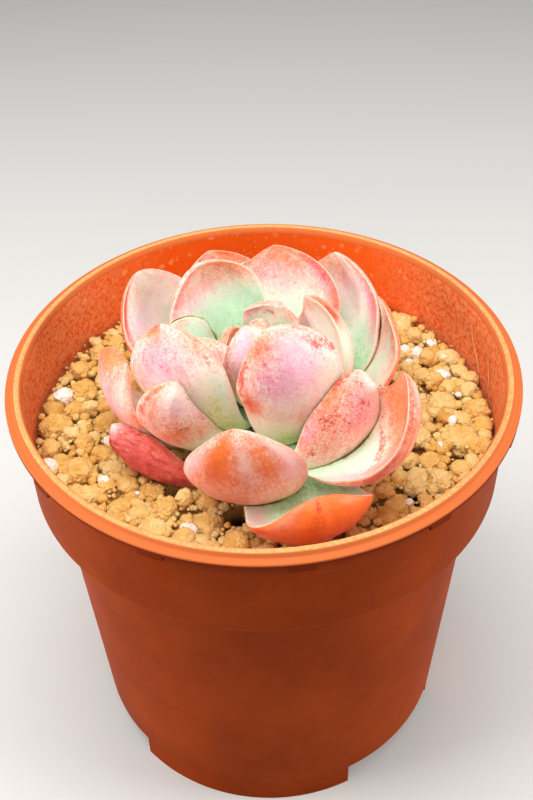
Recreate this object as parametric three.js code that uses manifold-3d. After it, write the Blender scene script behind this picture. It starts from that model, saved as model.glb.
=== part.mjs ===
// An Echeveria rosette planted in a thin-walled plastic nursery pot. Lengths are millimetres and +Z is up.
// The origin is the centre of the circle that the pot stands on. -Y is the front, +X the right.
import * as THREE from "three";
import { mergeVertices } from "three/addons/utils/BufferGeometryUtils.js";
import Module from "manifold-3d";

const wasm = await Module();
wasm.setup();

// Clearance between neighbouring pieces
const GAP = 0.3;

// Pot: radii are of the outer surface, heights are above the ground
const POT_HEIGHT = 86;
const RIM_RADIUS = 45;
const RIM_BEAD_INNER = 42;
const RIM_BEAD_OUTER = 43.8;
const RIM_BEAD_CHAMFER = 0.4;
const RIM_FLANGE_DROP = 0.9;
const RIM_FLANGE_THICK = 1.1;
const BAND_TOP_RADIUS = 43;
const BAND_FOOT_RADIUS = 42.7;
const BAND_FOOT_HEIGHT = 66;
const SHOULDER_DROP = 1.4;
const BODY_TOP_RADIUS = 38.9;
const BODY_FOOT_RADIUS = 35.3;
const WALL = 0.9;
const FOOT_RADIUS = 35;
const FOOT_HEIGHT = 5.4;
const FOOT_WALL = 1.6;
const FLOOR_THICK = 1.4;
const FLOOR_EDGE_CHAMFER = 0.5;
const POT_SEGMENTS = 48;
const FOOT_COUNT = 3;
const FOOT_SPAN_DEG = 73;
const FIRST_FOOT_DEG = -101;
const LUG_COUNT = 12;
const LUG_SPAN_DEG = 5.4;
const LUG_REACH = 1.9;
const LUG_HEIGHT = 1.2;
const FIRST_LUG_DEG = 6.5;
const SECTOR_STEP_DEG = 7.5;
const SUNK = 0.2;
const DRAIN_RADIUS = 3.6;
const DRAIN_CIRCLE = 24;
const DRAIN_COUNT = 6;
const DRAIN_SEGMENTS = 12;
const DRILL_LENGTH = 12;

// Soil: a gritty fill with clods sunk in its surface. CLODS are the large ones in sight, as x, y and radius,
// and smaller ones at random fill the rest of the surface.
const SOIL_WALL_HEIGHT = 71;
const SOIL_MIDDLE_HEIGHT = 72;
const CLOD_TOP = 74.2;
const CLOD_TOP_SPREAD = 0.8;
const CLODS = [
  [-39, 0, 3.4], [-34, 9, 2.4], [-35, 15, 2], [-32, 20, 2], [-29, 23, 2], [-35, 4, 2.2], [-32, 4, 1.8],
  [-29, 0, 2.4], [-35, -3, 1.8], [-38, -7, 2], [-32, -6, 1.8], [-33, -12, 3.2], [-29, -8, 2.2],
  [-27, -12, 1.8], [-31, -18, 3.3], [-24, -16, 1.9], [-20, -17, 2], [-25, -21, 2.7], [-28, -25, 2.4],
  [-21, -23, 2.3], [-17, -22, 2.2], [-14, -20, 1.6], [-10, -25, 3], [-19, -27, 2.5], [-14, -29, 2],
  [-5, -30, 2.3], [0, -32, 1.8], [-9, -31, 1.7], [28, 27, 3.2], [30, 22, 1.8], [32, 15, 2.1],
  [30, 10, 1.8], [32, 9, 1.6], [37, 11, 1.5], [39, 9, 1.6], [33, 3, 3.2], [38, 6, 1.8], [40, 1, 2.3],
  [29, -1, 1.8], [35, -6, 3.8], [39, -9, 2.3], [28, -6, 2.3], [29, -12, 2.5], [25, -12, 1.8],
  [23, -16, 1.9], [26, -17, 2.6], [30, -17, 2.4], [34, -14, 1.8], [36, -13, 1.6], [20, -20, 1.7],
  [22, -22, 2], [27, -22, 1.7], [20, -25, 2.1], [17, -24, 1.5], [14, -29, 1.7], [10, -32, 1.5],
];
const CLOD_SEED = 7;
const CLOD_PITCH = 6.2;
const CLOD_ROW_SHARE = 0.87;
const CLOD_JITTER = 0.4;
const CLOD_CLOSENESS = 0.8;
const CLOD_WALL_CLEARANCE = 1;
const CLOD_RANDOM_RADIUS = { least: 1.8, most: 2.9 };
const CLOD_SHARE_SUNK = 0.78;
const CLOD_FREE_MIDDLE = 19;
const LUMP_WIDTH = { least: 0.95, most: 1.2 };
const LUMP_HEIGHT = { least: 0.85, most: 1.05 };

// Perlite: the white bits that lie on the soil, as x, y and radius, and the height of their undersides
const PERLITE_SEAT = 71.5;
const PERLITE = [
  [-37.5, 7, 1.7], [-38, -11.5, 1.5], [-13, -26.5, 1.2], [30, 17, 1.4], [34, 10.5, 1.2], [24, -26, 1.1],
];

// Stem: a short caudex that the leaves grow from
const STEM = {
  x: -1, y: -2, foot: 52, collar: 72, bendHeight: 75, top: 84, leanX: -0.1, leanY: 0.45,
  footRadius: 2, collarRadius: 5, bendRadius: 4.5, topRadius: 2,
};
const STEM_ROUND = 12;

// Leaves, innermost first. az is the bearing on which a leaf leaves the stem and rise the height of its base.
// el0 and el1 are the slope of its midrib at the base and at the tip, and bend how late the midrib turns up.
// cup is the arc that the blade bends through across its width, roll its turn about the midrib, and lean how
// far the midrib curves sideways in the blade by the tip. Angles are degrees.
const LEAF_DEFAULTS = {
  start: 3, bend: 1.5, width: 18, base: 0.36, widest: 0.66, thick: 3.4, cup: 70, roll: 0, lean: 0,
  point: 0.66,
};
const LEAVES = [
  { az: 250, rise: 84, start: 1, el0: 65, el1: 110, length: 8, width: 5, thick: 2 },
  { az: 40, rise: 84, start: 1, el0: 65, el1: 110, length: 9, width: 6, thick: 2 },
  { az: 150, rise: 83, start: 1.5, el0: 48, el1: 110, length: 8.5, width: 6.5, thick: 2.4 },
  { az: 61, rise: 82, start: 1.5, el0: 28, el1: 130, length: 14.5, width: 12.5, thick: 3, lean: -12 },
  { az: -78, rise: 80, start: 2, el0: 30, el1: 135, bend: 1.2, length: 24.5, width: 12, lean: -15 },
  { az: -137, rise: 81, start: 2, el0: 30, el1: 110, bend: 1, length: 15.5, width: 16, roll: 12 },
  { az: 0, rise: 78.5, start: 2, el0: 9, el1: 138, bend: 1.2, length: 26.5, width: 21, roll: 43, lean: 27 },
  { az: 166, rise: 79, start: 2, el0: 23, el1: 90, bend: 1.8, length: 19.5, width: 16, roll: -6, lean: 6 },
  {
    az: -59, rise: 76.5, el0: 0, el1: 121, bend: 0.7, length: 37, width: 18.5, widest: 0.7, roll: -28,
    lean: -20,
  },
  {
    az: 118, rise: 79, el0: 20, el1: 120, bend: 1.3, length: 27, width: 20.5, widest: 0.6, roll: 9,
    lean: 14, point: 0.8,
  },
  { az: -24, rise: 79, el0: 15, el1: 115, length: 18.5, width: 15 },
  { az: -123, rise: 77.5, el0: 26, el1: 150, bend: 1.6, length: 33, width: 16.5, roll: 25, lean: -33 },
  {
    az: 69, rise: 78, el0: 16, el1: 80, length: 28.5, width: 25, widest: 0.6, roll: 4, lean: 20,
    point: 0.8,
  },
  { az: -56, rise: 73, el0: -4, el1: 131, bend: 1.1, length: 36, width: 15, roll: -16, lean: 22 },
  {
    az: 43, rise: 77, el0: 4, el1: 94, bend: 1.8, length: 33.5, width: 29, widest: 0.6, cup: 100,
    lean: 26, point: 0.8,
  },
  { az: 148, rise: 77, el0: 10, el1: 95, bend: 1.4, length: 32.5, width: 21 },
  { az: -137, rise: 75, el0: 13, el1: 115, length: 30, width: 13.5, roll: 60, lean: 4 },
  { az: -93, rise: 72.5, el0: -8, el1: 111, bend: 1.1, length: 39, width: 21, lean: -8 },
  {
    az: 102, rise: 76.5, el0: 10, el1: 88, bend: 1.6, length: 31, width: 22.5, widest: 0.6, roll: 3,
    lean: 12, point: 0.8,
  },
  {
    az: -175, rise: 75, start: 5, el0: -9, el1: 129, bend: 1.4, length: 33, width: 18, cup: 20,
    roll: 28, lean: 13,
  },
  {
    az: -47, rise: 77, el0: 10, el1: 127, bend: 2.9, length: 42, width: 21.5, cup: 120, roll: 68,
    lean: 18,
  },
  { az: 12, rise: 76, el0: 0, el1: 100, bend: 1.6, length: 31.5, width: 22, roll: 12, lean: 32 },
  {
    az: -73, rise: 75, el0: -3, el1: 142, bend: 3.7, length: 39, width: 22, widest: 0.75, lean: -3,
    point: 0.5,
  },
  {
    az: -130, rise: 69, el0: -3, el1: 114, bend: 1.3, length: 31.5, width: 9.5, cup: 85, roll: 23,
    lean: -53,
  },
  { az: 75, rise: 75, el0: 0, el1: 70, length: 27, width: 18 },
];

const LEAF_ROUND = 12;
const LEAF_ALONG = 10;
const SPINE_STEPS = 32;
const CUP_FROM = 0.08;
const CUP_FULL = 0.6;
const BASE_ROUNDING = 0.06;
const SWELL_POWER = 1.5;
const THICKEST = 0.4;
const BASE_THICKNESS = 0.8;
const TIP_TAPER_POWER = 2.4;
const UPPER_SHARE = 0.28;
const GROW_FADE = 3;
const NEARLY_FLAT = 1e-6;
const MERGE_TOLERANCE = 1e-4;

const rad = THREE.MathUtils.degToRad;

// Manifold solids from three.js geometry, and back

function solidOf(geometry) {
  const bare = geometry.clone();
  for (const name of ["normal", "uv"]) {
    bare.deleteAttribute(name);
  }
  const merged = mergeVertices(bare, MERGE_TOLERANCE);
  const mesh = new wasm.Mesh({
    numProp: 3,
    vertProperties: new Float32Array(merged.attributes.position.array),
    triVerts: new Uint32Array(merged.index.array),
  });
  return new wasm.Manifold(mesh);
}

function geometryOf(solid) {
  const mesh = solid.getMesh();
  const geometry = new THREE.BufferGeometry();
  geometry.setAttribute("position", new THREE.BufferAttribute(mesh.vertProperties, 3));
  geometry.setIndex(new THREE.BufferAttribute(mesh.triVerts, 1));
  geometry.computeVertexNormals();
  return geometry;
}

function largestBody(solid) {
  const bodies = solid.decompose();
  return bodies.reduce((best, body) => (body.volume() > best.volume() ? body : best));
}

// Leaf form

function smooth(from, to, x) {
  return THREE.MathUtils.smoothstep(x, from, to);
}

// Half width of the blade, as a share of its largest, at u from 0 at the base to 1 at the tip
function widthShare(leaf, u) {
  if (u > leaf.widest) {
    const t = (u - leaf.widest) / (1 - leaf.widest);
    return Math.pow(Math.max(0, 1 - t * t), leaf.point);
  }
  const swell = Math.sin((Math.PI / 2) * (u / leaf.widest)) ** SWELL_POWER;
  return (leaf.base + (1 - leaf.base) * swell) * endRounding(u);
}

function thicknessShare(u) {
  if (u > THICKEST) {
    const t = (u - THICKEST) / (1 - THICKEST);
    return Math.sqrt(Math.max(0, 1 - t ** TIP_TAPER_POWER));
  }
  return THREE.MathUtils.lerp(BASE_THICKNESS, 1, smooth(0, THICKEST, u)) * endRounding(u);
}

function endRounding(u) {
  const t = Math.max(0, 1 - u / BASE_ROUNDING);
  return Math.sqrt(Math.max(0, 1 - t * t));
}

// The stem's axis, which leans back above the soil
function stemAt(height) {
  const above = Math.max(0, height - STEM.bendHeight);
  return { x: STEM.x + STEM.leanX * above, y: STEM.y + STEM.leanY * above };
}

// The midrib's frames: position, tangent, side and the normal of the upper face, from base to tip
function spineOf(leaf) {
  const frames = [];
  const az = rad(leaf.az);
  const axis = stemAt(leaf.rise);
  const at = new THREE.Vector3(
    axis.x + leaf.start * Math.cos(az), axis.y + leaf.start * Math.sin(az), leaf.rise,
  );
  const flatSide = new THREE.Vector3(-Math.sin(az), Math.cos(az), 0);
  const step = leaf.length / SPINE_STEPS;
  for (let i = 0; i <= SPINE_STEPS; i++) {
    const u = i / SPINE_STEPS;
    const el = rad(leaf.el0 + (leaf.el1 - leaf.el0) * Math.pow(u, leaf.bend));
    const level = Math.cos(el);
    const straight = new THREE.Vector3(level * Math.cos(az), level * Math.sin(az), Math.sin(el));
    const flatUp = new THREE.Vector3().crossVectors(straight, flatSide);
    const turn = rad(leaf.roll) * u;
    const rolledSide = flatSide.clone().applyAxisAngle(straight, turn);
    const up = flatUp.clone().applyAxisAngle(straight, turn);
    const lean = rad(leaf.lean) * u;
    const tangent = straight.clone().applyAxisAngle(up, lean);
    const side = rolledSide.clone().applyAxisAngle(up, lean);
    frames.push({ at: at.clone(), tangent, side, up });
    at.addScaledVector(tangent, step);
  }
  return frames;
}

function leafGeometry(leaf, grow = 0) {
  const frames = spineOf(leaf);
  const sphere = new THREE.SphereGeometry(1, LEAF_ROUND, LEAF_ALONG);
  const place = sphere.attributes.position;
  const halfWidth = leaf.width / 2;
  const curl = rad(leaf.cup) / leaf.width;
  for (let i = 0; i < place.count; i++) {
    const u = THREE.MathUtils.clamp((1 + place.getY(i)) / 2, 0, 1);
    const phi = Math.atan2(-place.getZ(i), place.getX(i));
    const ringed = Math.sqrt(Math.max(0, 1 - place.getY(i) ** 2));
    const swellBy = grow * Math.min(1, ringed * GROW_FADE);
    const across = Math.cos(phi) * (halfWidth * widthShare(leaf, u) + swellBy);
    const rise = Math.sin(phi);
    const share = rise > 0 ? UPPER_SHARE : 1 - UPPER_SHARE;
    const lift = rise * (leaf.thick * share * thicknessShare(u) + swellBy);
    const theta = across * curl * smooth(CUP_FROM, CUP_FULL, u);
    const bent = Math.abs(theta) < NEARLY_FLAT ? 1 : Math.sin(theta) / theta;
    const sag = Math.abs(theta) < NEARLY_FLAT ? 0 : (1 - Math.cos(theta)) / theta;
    const k = Math.min(SPINE_STEPS - 1, Math.floor(u * SPINE_STEPS));
    const f = u * SPINE_STEPS - k;
    const a = frames[k];
    const b = frames[k + 1];
    const at = a.at.clone().lerp(b.at, f);
    const side = a.side.clone().lerp(b.side, f).normalize();
    const up = a.up.clone().lerp(b.up, f).normalize();
    at.addScaledVector(side, across * bent - lift * Math.sin(theta));
    at.addScaledVector(up, across * sag + lift * Math.cos(theta));
    at.addScaledVector(a.tangent, grow * place.getY(i));
    place.setXYZ(i, at.x, at.y, at.z);
  }
  return sphere;
}

// Pot

const shoulder = BAND_FOOT_HEIGHT - SHOULDER_DROP;
const floor = FOOT_HEIGHT + FLOOR_THICK;
const edge = POT_HEIGHT - RIM_FLANGE_DROP;

function ringPoint(radius, angle) {
  return new THREE.Vector2(radius * Math.cos(angle), radius * Math.sin(angle));
}

// A sector of a ring, upright, between two radii and two heights
function ringSector(inner, outer, low, high, middleDeg, spanDeg) {
  const fromDeg = middleDeg - spanDeg / 2;
  const toDeg = middleDeg + spanDeg / 2;
  const shape = new THREE.Shape();
  shape.absarc(0, 0, outer, rad(fromDeg), rad(toDeg), false);
  const corner = ringPoint(inner, rad(toDeg));
  shape.lineTo(corner.x, corner.y);
  shape.absarc(0, 0, inner, rad(toDeg), rad(fromDeg), true);
  const curveSegments = Math.ceil(spanDeg / SECTOR_STEP_DEG);
  const options = { depth: high - low, bevelEnabled: false, curveSegments };
  return solidOf(new THREE.ExtrudeGeometry(shape, options).translate(0, 0, low));
}

function lathe(points) {
  const outline = points.map(([radius, height]) => new THREE.Vector2(radius, height));
  return solidOf(new THREE.LatheGeometry(outline, POT_SEGMENTS).rotateX(Math.PI / 2));
}

// The inner face from the rim down to the middle of the floor, drawn in by a clearance
function insideOutline(clearance) {
  const inset = WALL + clearance;
  return [
    [RIM_BEAD_INNER - clearance, edge],
    [BAND_FOOT_RADIUS - inset, BAND_FOOT_HEIGHT + inset],
    [BODY_TOP_RADIUS - inset, shoulder + inset],
    [BODY_FOOT_RADIUS - inset, floor + clearance],
    [0, floor + clearance],
  ];
}

function makePot() {
  const shell = lathe([
    [0, FOOT_HEIGHT], [FOOT_RADIUS, FOOT_HEIGHT], [BODY_FOOT_RADIUS, FOOT_HEIGHT + FLOOR_EDGE_CHAMFER],
    [BODY_TOP_RADIUS, shoulder], [BAND_FOOT_RADIUS, BAND_FOOT_HEIGHT],
    [BAND_TOP_RADIUS, edge - RIM_FLANGE_THICK], [RIM_RADIUS, edge - RIM_FLANGE_THICK],
    [RIM_RADIUS, edge], [RIM_BEAD_OUTER, edge], [RIM_BEAD_OUTER - RIM_BEAD_CHAMFER, POT_HEIGHT],
    [RIM_BEAD_INNER + RIM_BEAD_CHAMFER, POT_HEIGHT], ...insideOutline(0),
  ]);
  const pieces = [shell];
  for (let i = 0; i < FOOT_COUNT; i++) {
    const middle = FIRST_FOOT_DEG + (360 / FOOT_COUNT) * i;
    pieces.push(ringSector(FOOT_RADIUS - FOOT_WALL, FOOT_RADIUS, 0, floor - SUNK, middle, FOOT_SPAN_DEG));
  }
  for (let i = 0; i < LUG_COUNT; i++) {
    const middle = FIRST_LUG_DEG + (360 / LUG_COUNT) * i;
    const top = edge - RIM_FLANGE_THICK + SUNK;
    const inner = BAND_TOP_RADIUS - 2 * SUNK;
    pieces.push(ringSector(inner, BAND_TOP_RADIUS + LUG_REACH, top - LUG_HEIGHT, top, middle, LUG_SPAN_DEG));
  }
  const holes = [];
  for (let i = 0; i < DRAIN_COUNT; i++) {
    const angle = rad((360 / DRAIN_COUNT) * i);
    const drill = new THREE.CylinderGeometry(DRAIN_RADIUS, DRAIN_RADIUS, DRILL_LENGTH, DRAIN_SEGMENTS);
    drill.rotateX(Math.PI / 2);
    drill.translate(DRAIN_CIRCLE * Math.cos(angle), DRAIN_CIRCLE * Math.sin(angle), FOOT_HEIGHT);
    holes.push(solidOf(drill));
  }
  return wasm.Manifold.union(pieces).subtract(wasm.Manifold.union(holes));
}

// Soil and perlite

// A repeatable stream of numbers from 0 to 1
function randomFrom(seed) {
  let state = seed;
  return () => {
    state = (state + 0x6d2b79f5) | 0;
    let mixed = Math.imul(state ^ (state >>> 15), 1 | state);
    mixed = (mixed + Math.imul(mixed ^ (mixed >>> 7), 61 | mixed)) ^ mixed;
    return ((mixed ^ (mixed >>> 14)) >>> 0) / 4294967296;
  };
}

const random = randomFrom(CLOD_SEED);

function randomIn({ least, most }) {
  return THREE.MathUtils.lerp(least, most, random());
}

// A lump with flat facets, turned and squashed at random
function lumpGeometry(x, y, z, radius) {
  const lump = new THREE.IcosahedronGeometry(radius, 0);
  lump.scale(randomIn(LUMP_WIDTH), randomIn(LUMP_WIDTH), randomIn(LUMP_HEIGHT));
  lump.rotateX(random() * Math.PI).rotateZ(random() * Math.PI);
  return lump.translate(x, y, z);
}

// The clods' places: the listed ones, then random ones on a jittered grid wherever none lies yet
function clodPlaces() {
  const places = CLODS.map(([x, y, radius]) => ({ x, y, radius }));
  const reach = BAND_FOOT_RADIUS - WALL - CLOD_WALL_CLEARANCE;
  const rows = Math.ceil(reach / CLOD_PITCH);
  for (let row = -rows; row <= rows; row++) {
    for (let column = -rows; column <= rows; column++) {
      const x = (column + 0.5 * (row & 1) + CLOD_JITTER * (random() - 0.5)) * CLOD_PITCH;
      const y = (row * CLOD_ROW_SHARE + CLOD_JITTER * (random() - 0.5)) * CLOD_PITCH;
      const radius = randomIn(CLOD_RANDOM_RADIUS);
      const clear = places.every((other) => {
        const room = CLOD_CLOSENESS * (radius + other.radius);
        return Math.hypot(x - other.x, y - other.y) > room;
      });
      if (clear && Math.hypot(x, y) < reach && Math.hypot(x - STEM.x, y - STEM.y) > CLOD_FREE_MIDDLE) {
        places.push({ x, y, radius });
      }
    }
  }
  return places;
}

function makeSoil(cutters) {
  const inside = lathe([...insideOutline(GAP).reverse(), [0, edge]]);
  const outline = insideOutline(GAP).slice(1).reverse();
  const wallRadius = BAND_FOOT_RADIUS - WALL - GAP;
  const fill = lathe([...outline, [wallRadius, SOIL_WALL_HEIGHT], [0, SOIL_MIDDLE_HEIGHT]]);
  const clods = clodPlaces().map(({ x, y, radius }) => {
    const height = CLOD_TOP + CLOD_TOP_SPREAD * (random() - 0.5) - CLOD_SHARE_SUNK * radius;
    return solidOf(lumpGeometry(x, y, height, radius));
  });
  const surface = wasm.Manifold.union(clods).intersect(inside);
  return largestBody(fill.add(surface).subtract(wasm.Manifold.union(cutters)));
}

// Stem

function stemGeometry(grow) {
  const profile = [
    [0, STEM.foot - grow], [STEM.footRadius + grow, STEM.foot - grow],
    [STEM.collarRadius + grow, STEM.collar], [STEM.bendRadius + grow, STEM.bendHeight],
    [STEM.topRadius + grow, STEM.top + grow], [0, STEM.top + grow],
  ];
  const outline = profile.map(([radius, height]) => new THREE.Vector2(radius, height));
  const stem = new THREE.LatheGeometry(outline, STEM_ROUND).rotateX(Math.PI / 2);
  const place = stem.attributes.position;
  for (let i = 0; i < place.count; i++) {
    const axis = stemAt(place.getZ(i));
    place.setXY(i, place.getX(i) + axis.x, place.getY(i) + axis.y);
  }
  return stem;
}

// Assembly

const group = new THREE.Group();

function addPiece(name, solid, material) {
  const mesh = new THREE.Mesh(geometryOf(solid), material);
  mesh.name = name;
  group.add(mesh);
}

function finish(color, roughness) {
  return new THREE.MeshStandardMaterial({ color, roughness, metalness: 0 });
}

// Each leaf gives way to the stem and to the leaves inside it, and the soil gives way to them all
const taken = [solidOf(stemGeometry(GAP))];
addPiece("stem", solidOf(stemGeometry(0)), finish(0xa8b56a, 0.7));
const leafFinish = finish(0xe9b3a2, 0.6);
LEAVES.forEach((row, i) => {
  const leaf = { ...LEAF_DEFAULTS, ...row };
  const body = solidOf(leafGeometry(leaf)).subtract(wasm.Manifold.union(taken));
  addPiece(`leaf_${String(i + 1).padStart(2, "0")}`, largestBody(body), leafFinish);
  taken.push(solidOf(leafGeometry(leaf, GAP)));
});

const perliteFinish = finish(0xf1ece0, 0.9);
PERLITE.forEach(([x, y, radius], i) => {
  const height = PERLITE_SEAT + radius;
  const bit = lumpGeometry(0, 0, 0, radius);
  const growth = 1 + GAP / radius;
  const grown = bit.clone().scale(growth, growth, growth).translate(x, y, height);
  addPiece(`perlite_${i + 1}`, solidOf(bit.translate(x, y, height)), perliteFinish);
  taken.push(solidOf(grown));
});

addPiece("soil", makeSoil(taken), finish(0xd9a14e, 0.95));
addPiece("pot", makePot(), finish(0xc85a24, 0.5));

export default group;
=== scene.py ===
"""A potted echeveria rosette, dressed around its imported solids.

The sub-assemblies give their sizes in millimetres and their meshes in Blender's metres. The frame is that of
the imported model: the origin is the centre of the circle that the pot stands on, +Z is up, -Y is the front.
"""

import logging
import math
import random
from collections.abc import Iterable, Sequence
from dataclasses import dataclass
from enum import Enum
from typing import ClassVar

import bmesh
import bpy
from mathutils import Matrix, Vector, bvhtree, noise


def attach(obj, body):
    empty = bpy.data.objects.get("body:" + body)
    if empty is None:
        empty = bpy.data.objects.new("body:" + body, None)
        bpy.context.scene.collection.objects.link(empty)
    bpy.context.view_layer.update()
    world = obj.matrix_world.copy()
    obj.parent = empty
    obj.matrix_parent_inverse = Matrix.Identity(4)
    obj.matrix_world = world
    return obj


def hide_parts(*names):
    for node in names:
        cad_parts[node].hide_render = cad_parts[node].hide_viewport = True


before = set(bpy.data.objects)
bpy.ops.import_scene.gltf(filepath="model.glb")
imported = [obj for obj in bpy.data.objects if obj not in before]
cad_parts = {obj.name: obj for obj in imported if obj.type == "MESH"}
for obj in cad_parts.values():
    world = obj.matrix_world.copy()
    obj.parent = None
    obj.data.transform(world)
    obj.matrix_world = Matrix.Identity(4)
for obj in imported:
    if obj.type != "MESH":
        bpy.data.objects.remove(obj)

MM = 0.001
BODY = "root"
SHARP_POT = 38
SHARP_EDGE = 40
SHARP_LEAF = 60
LOG = logging.getLogger("potted_echeveria")

Socket = bpy.types.NodeSocket
Value = Socket | float
Colour = Socket | str


def rgb(code: str) -> tuple[float, float, float, float]:
    """Turn a hex code into the linear colour that a shader socket takes.

    Args:
        code: Six hex digits of the sRGB colour, with no mark before them.

    Returns:
        Red, green, blue and an alpha of 1.
    """
    channels = [int(code[i:i + 2], 16) / 255 for i in (0, 2, 4)]
    linear = [c / 12.92 if c <= 0.04045 else ((c + 0.055) / 1.055) ** 2.4 for c in channels]
    return linear[0], linear[1], linear[2], 1.0


def smooth(low: float, high: float, value: float) -> float:
    """Rise gently from 0 at low to 1 at high."""
    t = min(1.0, max(0.0, (value - low) / (high - low)))
    return t * t * (3 - 2 * t)


def blend(a: float, b: float, t: float) -> float:
    """Go in a straight line from a at 0 to b at 1."""
    return a + (b - a) * t


class Graph:
    """The node graph of one procedural material, with a short call for each kind of node."""

    def __init__(self, name: str) -> None:
        """Start an empty graph that reads object coordinates.

        Args:
            name: The material's name.
        """
        self.material = bpy.data.materials.new(name)
        self.material.use_nodes = True
        self.tree = self.material.node_tree
        self.tree.nodes.clear()
        self.point = self.node("ShaderNodeTexCoord").outputs["Object"]

    def node(self, kind: str, **settings: object) -> bpy.types.Node:
        """Add a node.

        Args:
            kind: Blender's name of the node type.
            settings: Properties to set on it.

        Returns:
            The new node.
        """
        made = self.tree.nodes.new(kind)
        for key, value in settings.items():
            setattr(made, key, value)
        return made

    def feed(self, target: Socket, value: Value | Colour | Vector) -> None:
        """Wire a socket to an output, or set its value.

        Args:
            target: The input socket.
            value: An output socket, a number, a vector or a hex colour.
        """
        if isinstance(value, bpy.types.NodeSocket):
            self.tree.links.new(value, target)
        elif isinstance(value, str):
            target.default_value = rgb(value)
        else:
            target.default_value = value

    def axis(self, name: str) -> Socket:
        """Read one of the object's coordinates.

        Args:
            name: X, Y or Z.

        Returns:
            The coordinate, in metres.
        """
        made = self.node("ShaderNodeSeparateXYZ")
        self.feed(made.inputs[0], self.point)
        return made.outputs[name]

    def vector(self, x: Value, y: Value, z: Value) -> Socket:
        """Join three numbers into a vector.

        Args:
            x: The first number.
            y: The second number.
            z: The third number.

        Returns:
            The vector.
        """
        made = self.node("ShaderNodeCombineXYZ")
        for target, value in zip(made.inputs, (x, y, z)):
            self.feed(target, value)
        return made.outputs[0]

    def attribute(self, name: str) -> Socket:
        """Read a float attribute of the mesh."""
        return self.node("ShaderNodeAttribute", attribute_name=name).outputs["Fac"]

    def noise(self, scale: float, detail: float = 3, rough: float = 0.55,
              vector: Socket | None = None) -> Socket:
        """Add a fractal noise.

        Args:
            scale: Bumps for each metre of the coordinates.
            detail: How many finer layers there are.
            rough: How strong the finer layers are.
            vector: The coordinates, or None for the object's own.

        Returns:
            The noise, near 0.5 on average.
        """
        made = self.node("ShaderNodeTexNoise")
        self.feed(made.inputs["Vector"], vector or self.point)
        for name, value in (("Scale", scale), ("Detail", detail), ("Roughness", rough)):
            self.feed(made.inputs[name], value)
        return made.outputs["Fac"]

    def cells(self, scale: float) -> Socket:
        """Add a Voronoi pattern.

        Args:
            scale: Cells for each metre of the coordinates.

        Returns:
            How far each point is from the middle of its cell.
        """
        made = self.node("ShaderNodeTexVoronoi")
        self.feed(made.inputs["Vector"], self.point)
        self.feed(made.inputs["Scale"], scale)
        return made.outputs["Distance"]

    def math(self, operation: str, a: Value, b: Value = 0.0) -> Socket:
        """Add a math node.

        Args:
            operation: Blender's name of the operation.
            a: The first number.
            b: The second number.

        Returns:
            The result.
        """
        made = self.node("ShaderNodeMath", operation=operation)
        self.feed(made.inputs[0], a)
        self.feed(made.inputs[1], b)
        return made.outputs[0]

    def total(self, *terms: Value) -> Socket:
        """Add up several numbers.

        Args:
            terms: The numbers.

        Returns:
            Their sum.
        """
        result = terms[0]
        for term in terms[1:]:
            result = self.math("ADD", result, term)
        return result

    def product(self, *terms: Value) -> Socket:
        """Multiply several numbers.

        Args:
            terms: The numbers.

        Returns:
            Their product.
        """
        result = terms[0]
        for term in terms[1:]:
            result = self.math("MULTIPLY", result, term)
        return result

    def sway(self, value: Value, amount: float) -> Socket:
        """Centre a noise on zero and scale it."""
        return self.math("MULTIPLY", self.math("SUBTRACT", value, 0.5), amount)

    def rise(self, value: Value, low: float, high: float, top: float = 1.0) -> Socket:
        """Rise gently between two values of a number, or fall where low is the larger.

        Args:
            value: The number that is looked at.
            low: Where the result is 0.
            high: Where the result reaches top.
            top: The largest result.

        Returns:
            A number from 0 to top.
        """
        made = self.node("ShaderNodeMapRange", interpolation_type="SMOOTHSTEP")
        for name, number in (("Value", value), ("From Min", low), ("From Max", high), ("To Max", top)):
            self.feed(made.inputs[name], number)
        return made.outputs["Result"]

    def mix(self, share: Value, a: Colour, b: Colour) -> Socket:
        """Mix two colours.

        Args:
            share: How much of b there is.
            a: The first colour.
            b: The second colour.

        Returns:
            The mixed colour.
        """
        made = self.node("ShaderNodeMix", data_type="RGBA", blend_type="MIX")
        self.feed(made.inputs[0], share)
        self.feed(made.inputs[6], a)
        self.feed(made.inputs[7], b)
        return made.outputs[2]

    def ramp(self, value: Value, stops: Sequence[tuple[float, str]]) -> Socket:
        """Look a value up on a colour ramp.

        Args:
            value: The place on the ramp.
            stops: Each stop's place and hex colour.

        Returns:
            The colour.
        """
        made = self.node("ShaderNodeValToRGB")
        elements = made.color_ramp.elements
        while len(elements) < len(stops):
            elements.new(1.0)
        for element, (place, code) in zip(elements, stops):
            element.position = place
            element.color = rgb(code)
        self.feed(made.inputs[0], value)
        return made.outputs[0]

    def height(self, value: Value, metres: float, strength: float = 1.0,
               below: Socket | None = None) -> Socket:
        """Turn a height into a bumped normal.

        Args:
            value: The height, from 0 to 1.
            metres: What a height of 1 stands for.
            strength: The share of the bump that shows.
            below: A bumped normal to add this one to.

        Returns:
            The normal.
        """
        made = self.node("ShaderNodeBump")
        self.feed(made.inputs["Strength"], strength)
        self.feed(made.inputs["Distance"], metres)
        self.feed(made.inputs["Height"], value)
        if below is not None:
            self.feed(made.inputs["Normal"], below)
        return made.outputs["Normal"]

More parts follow.
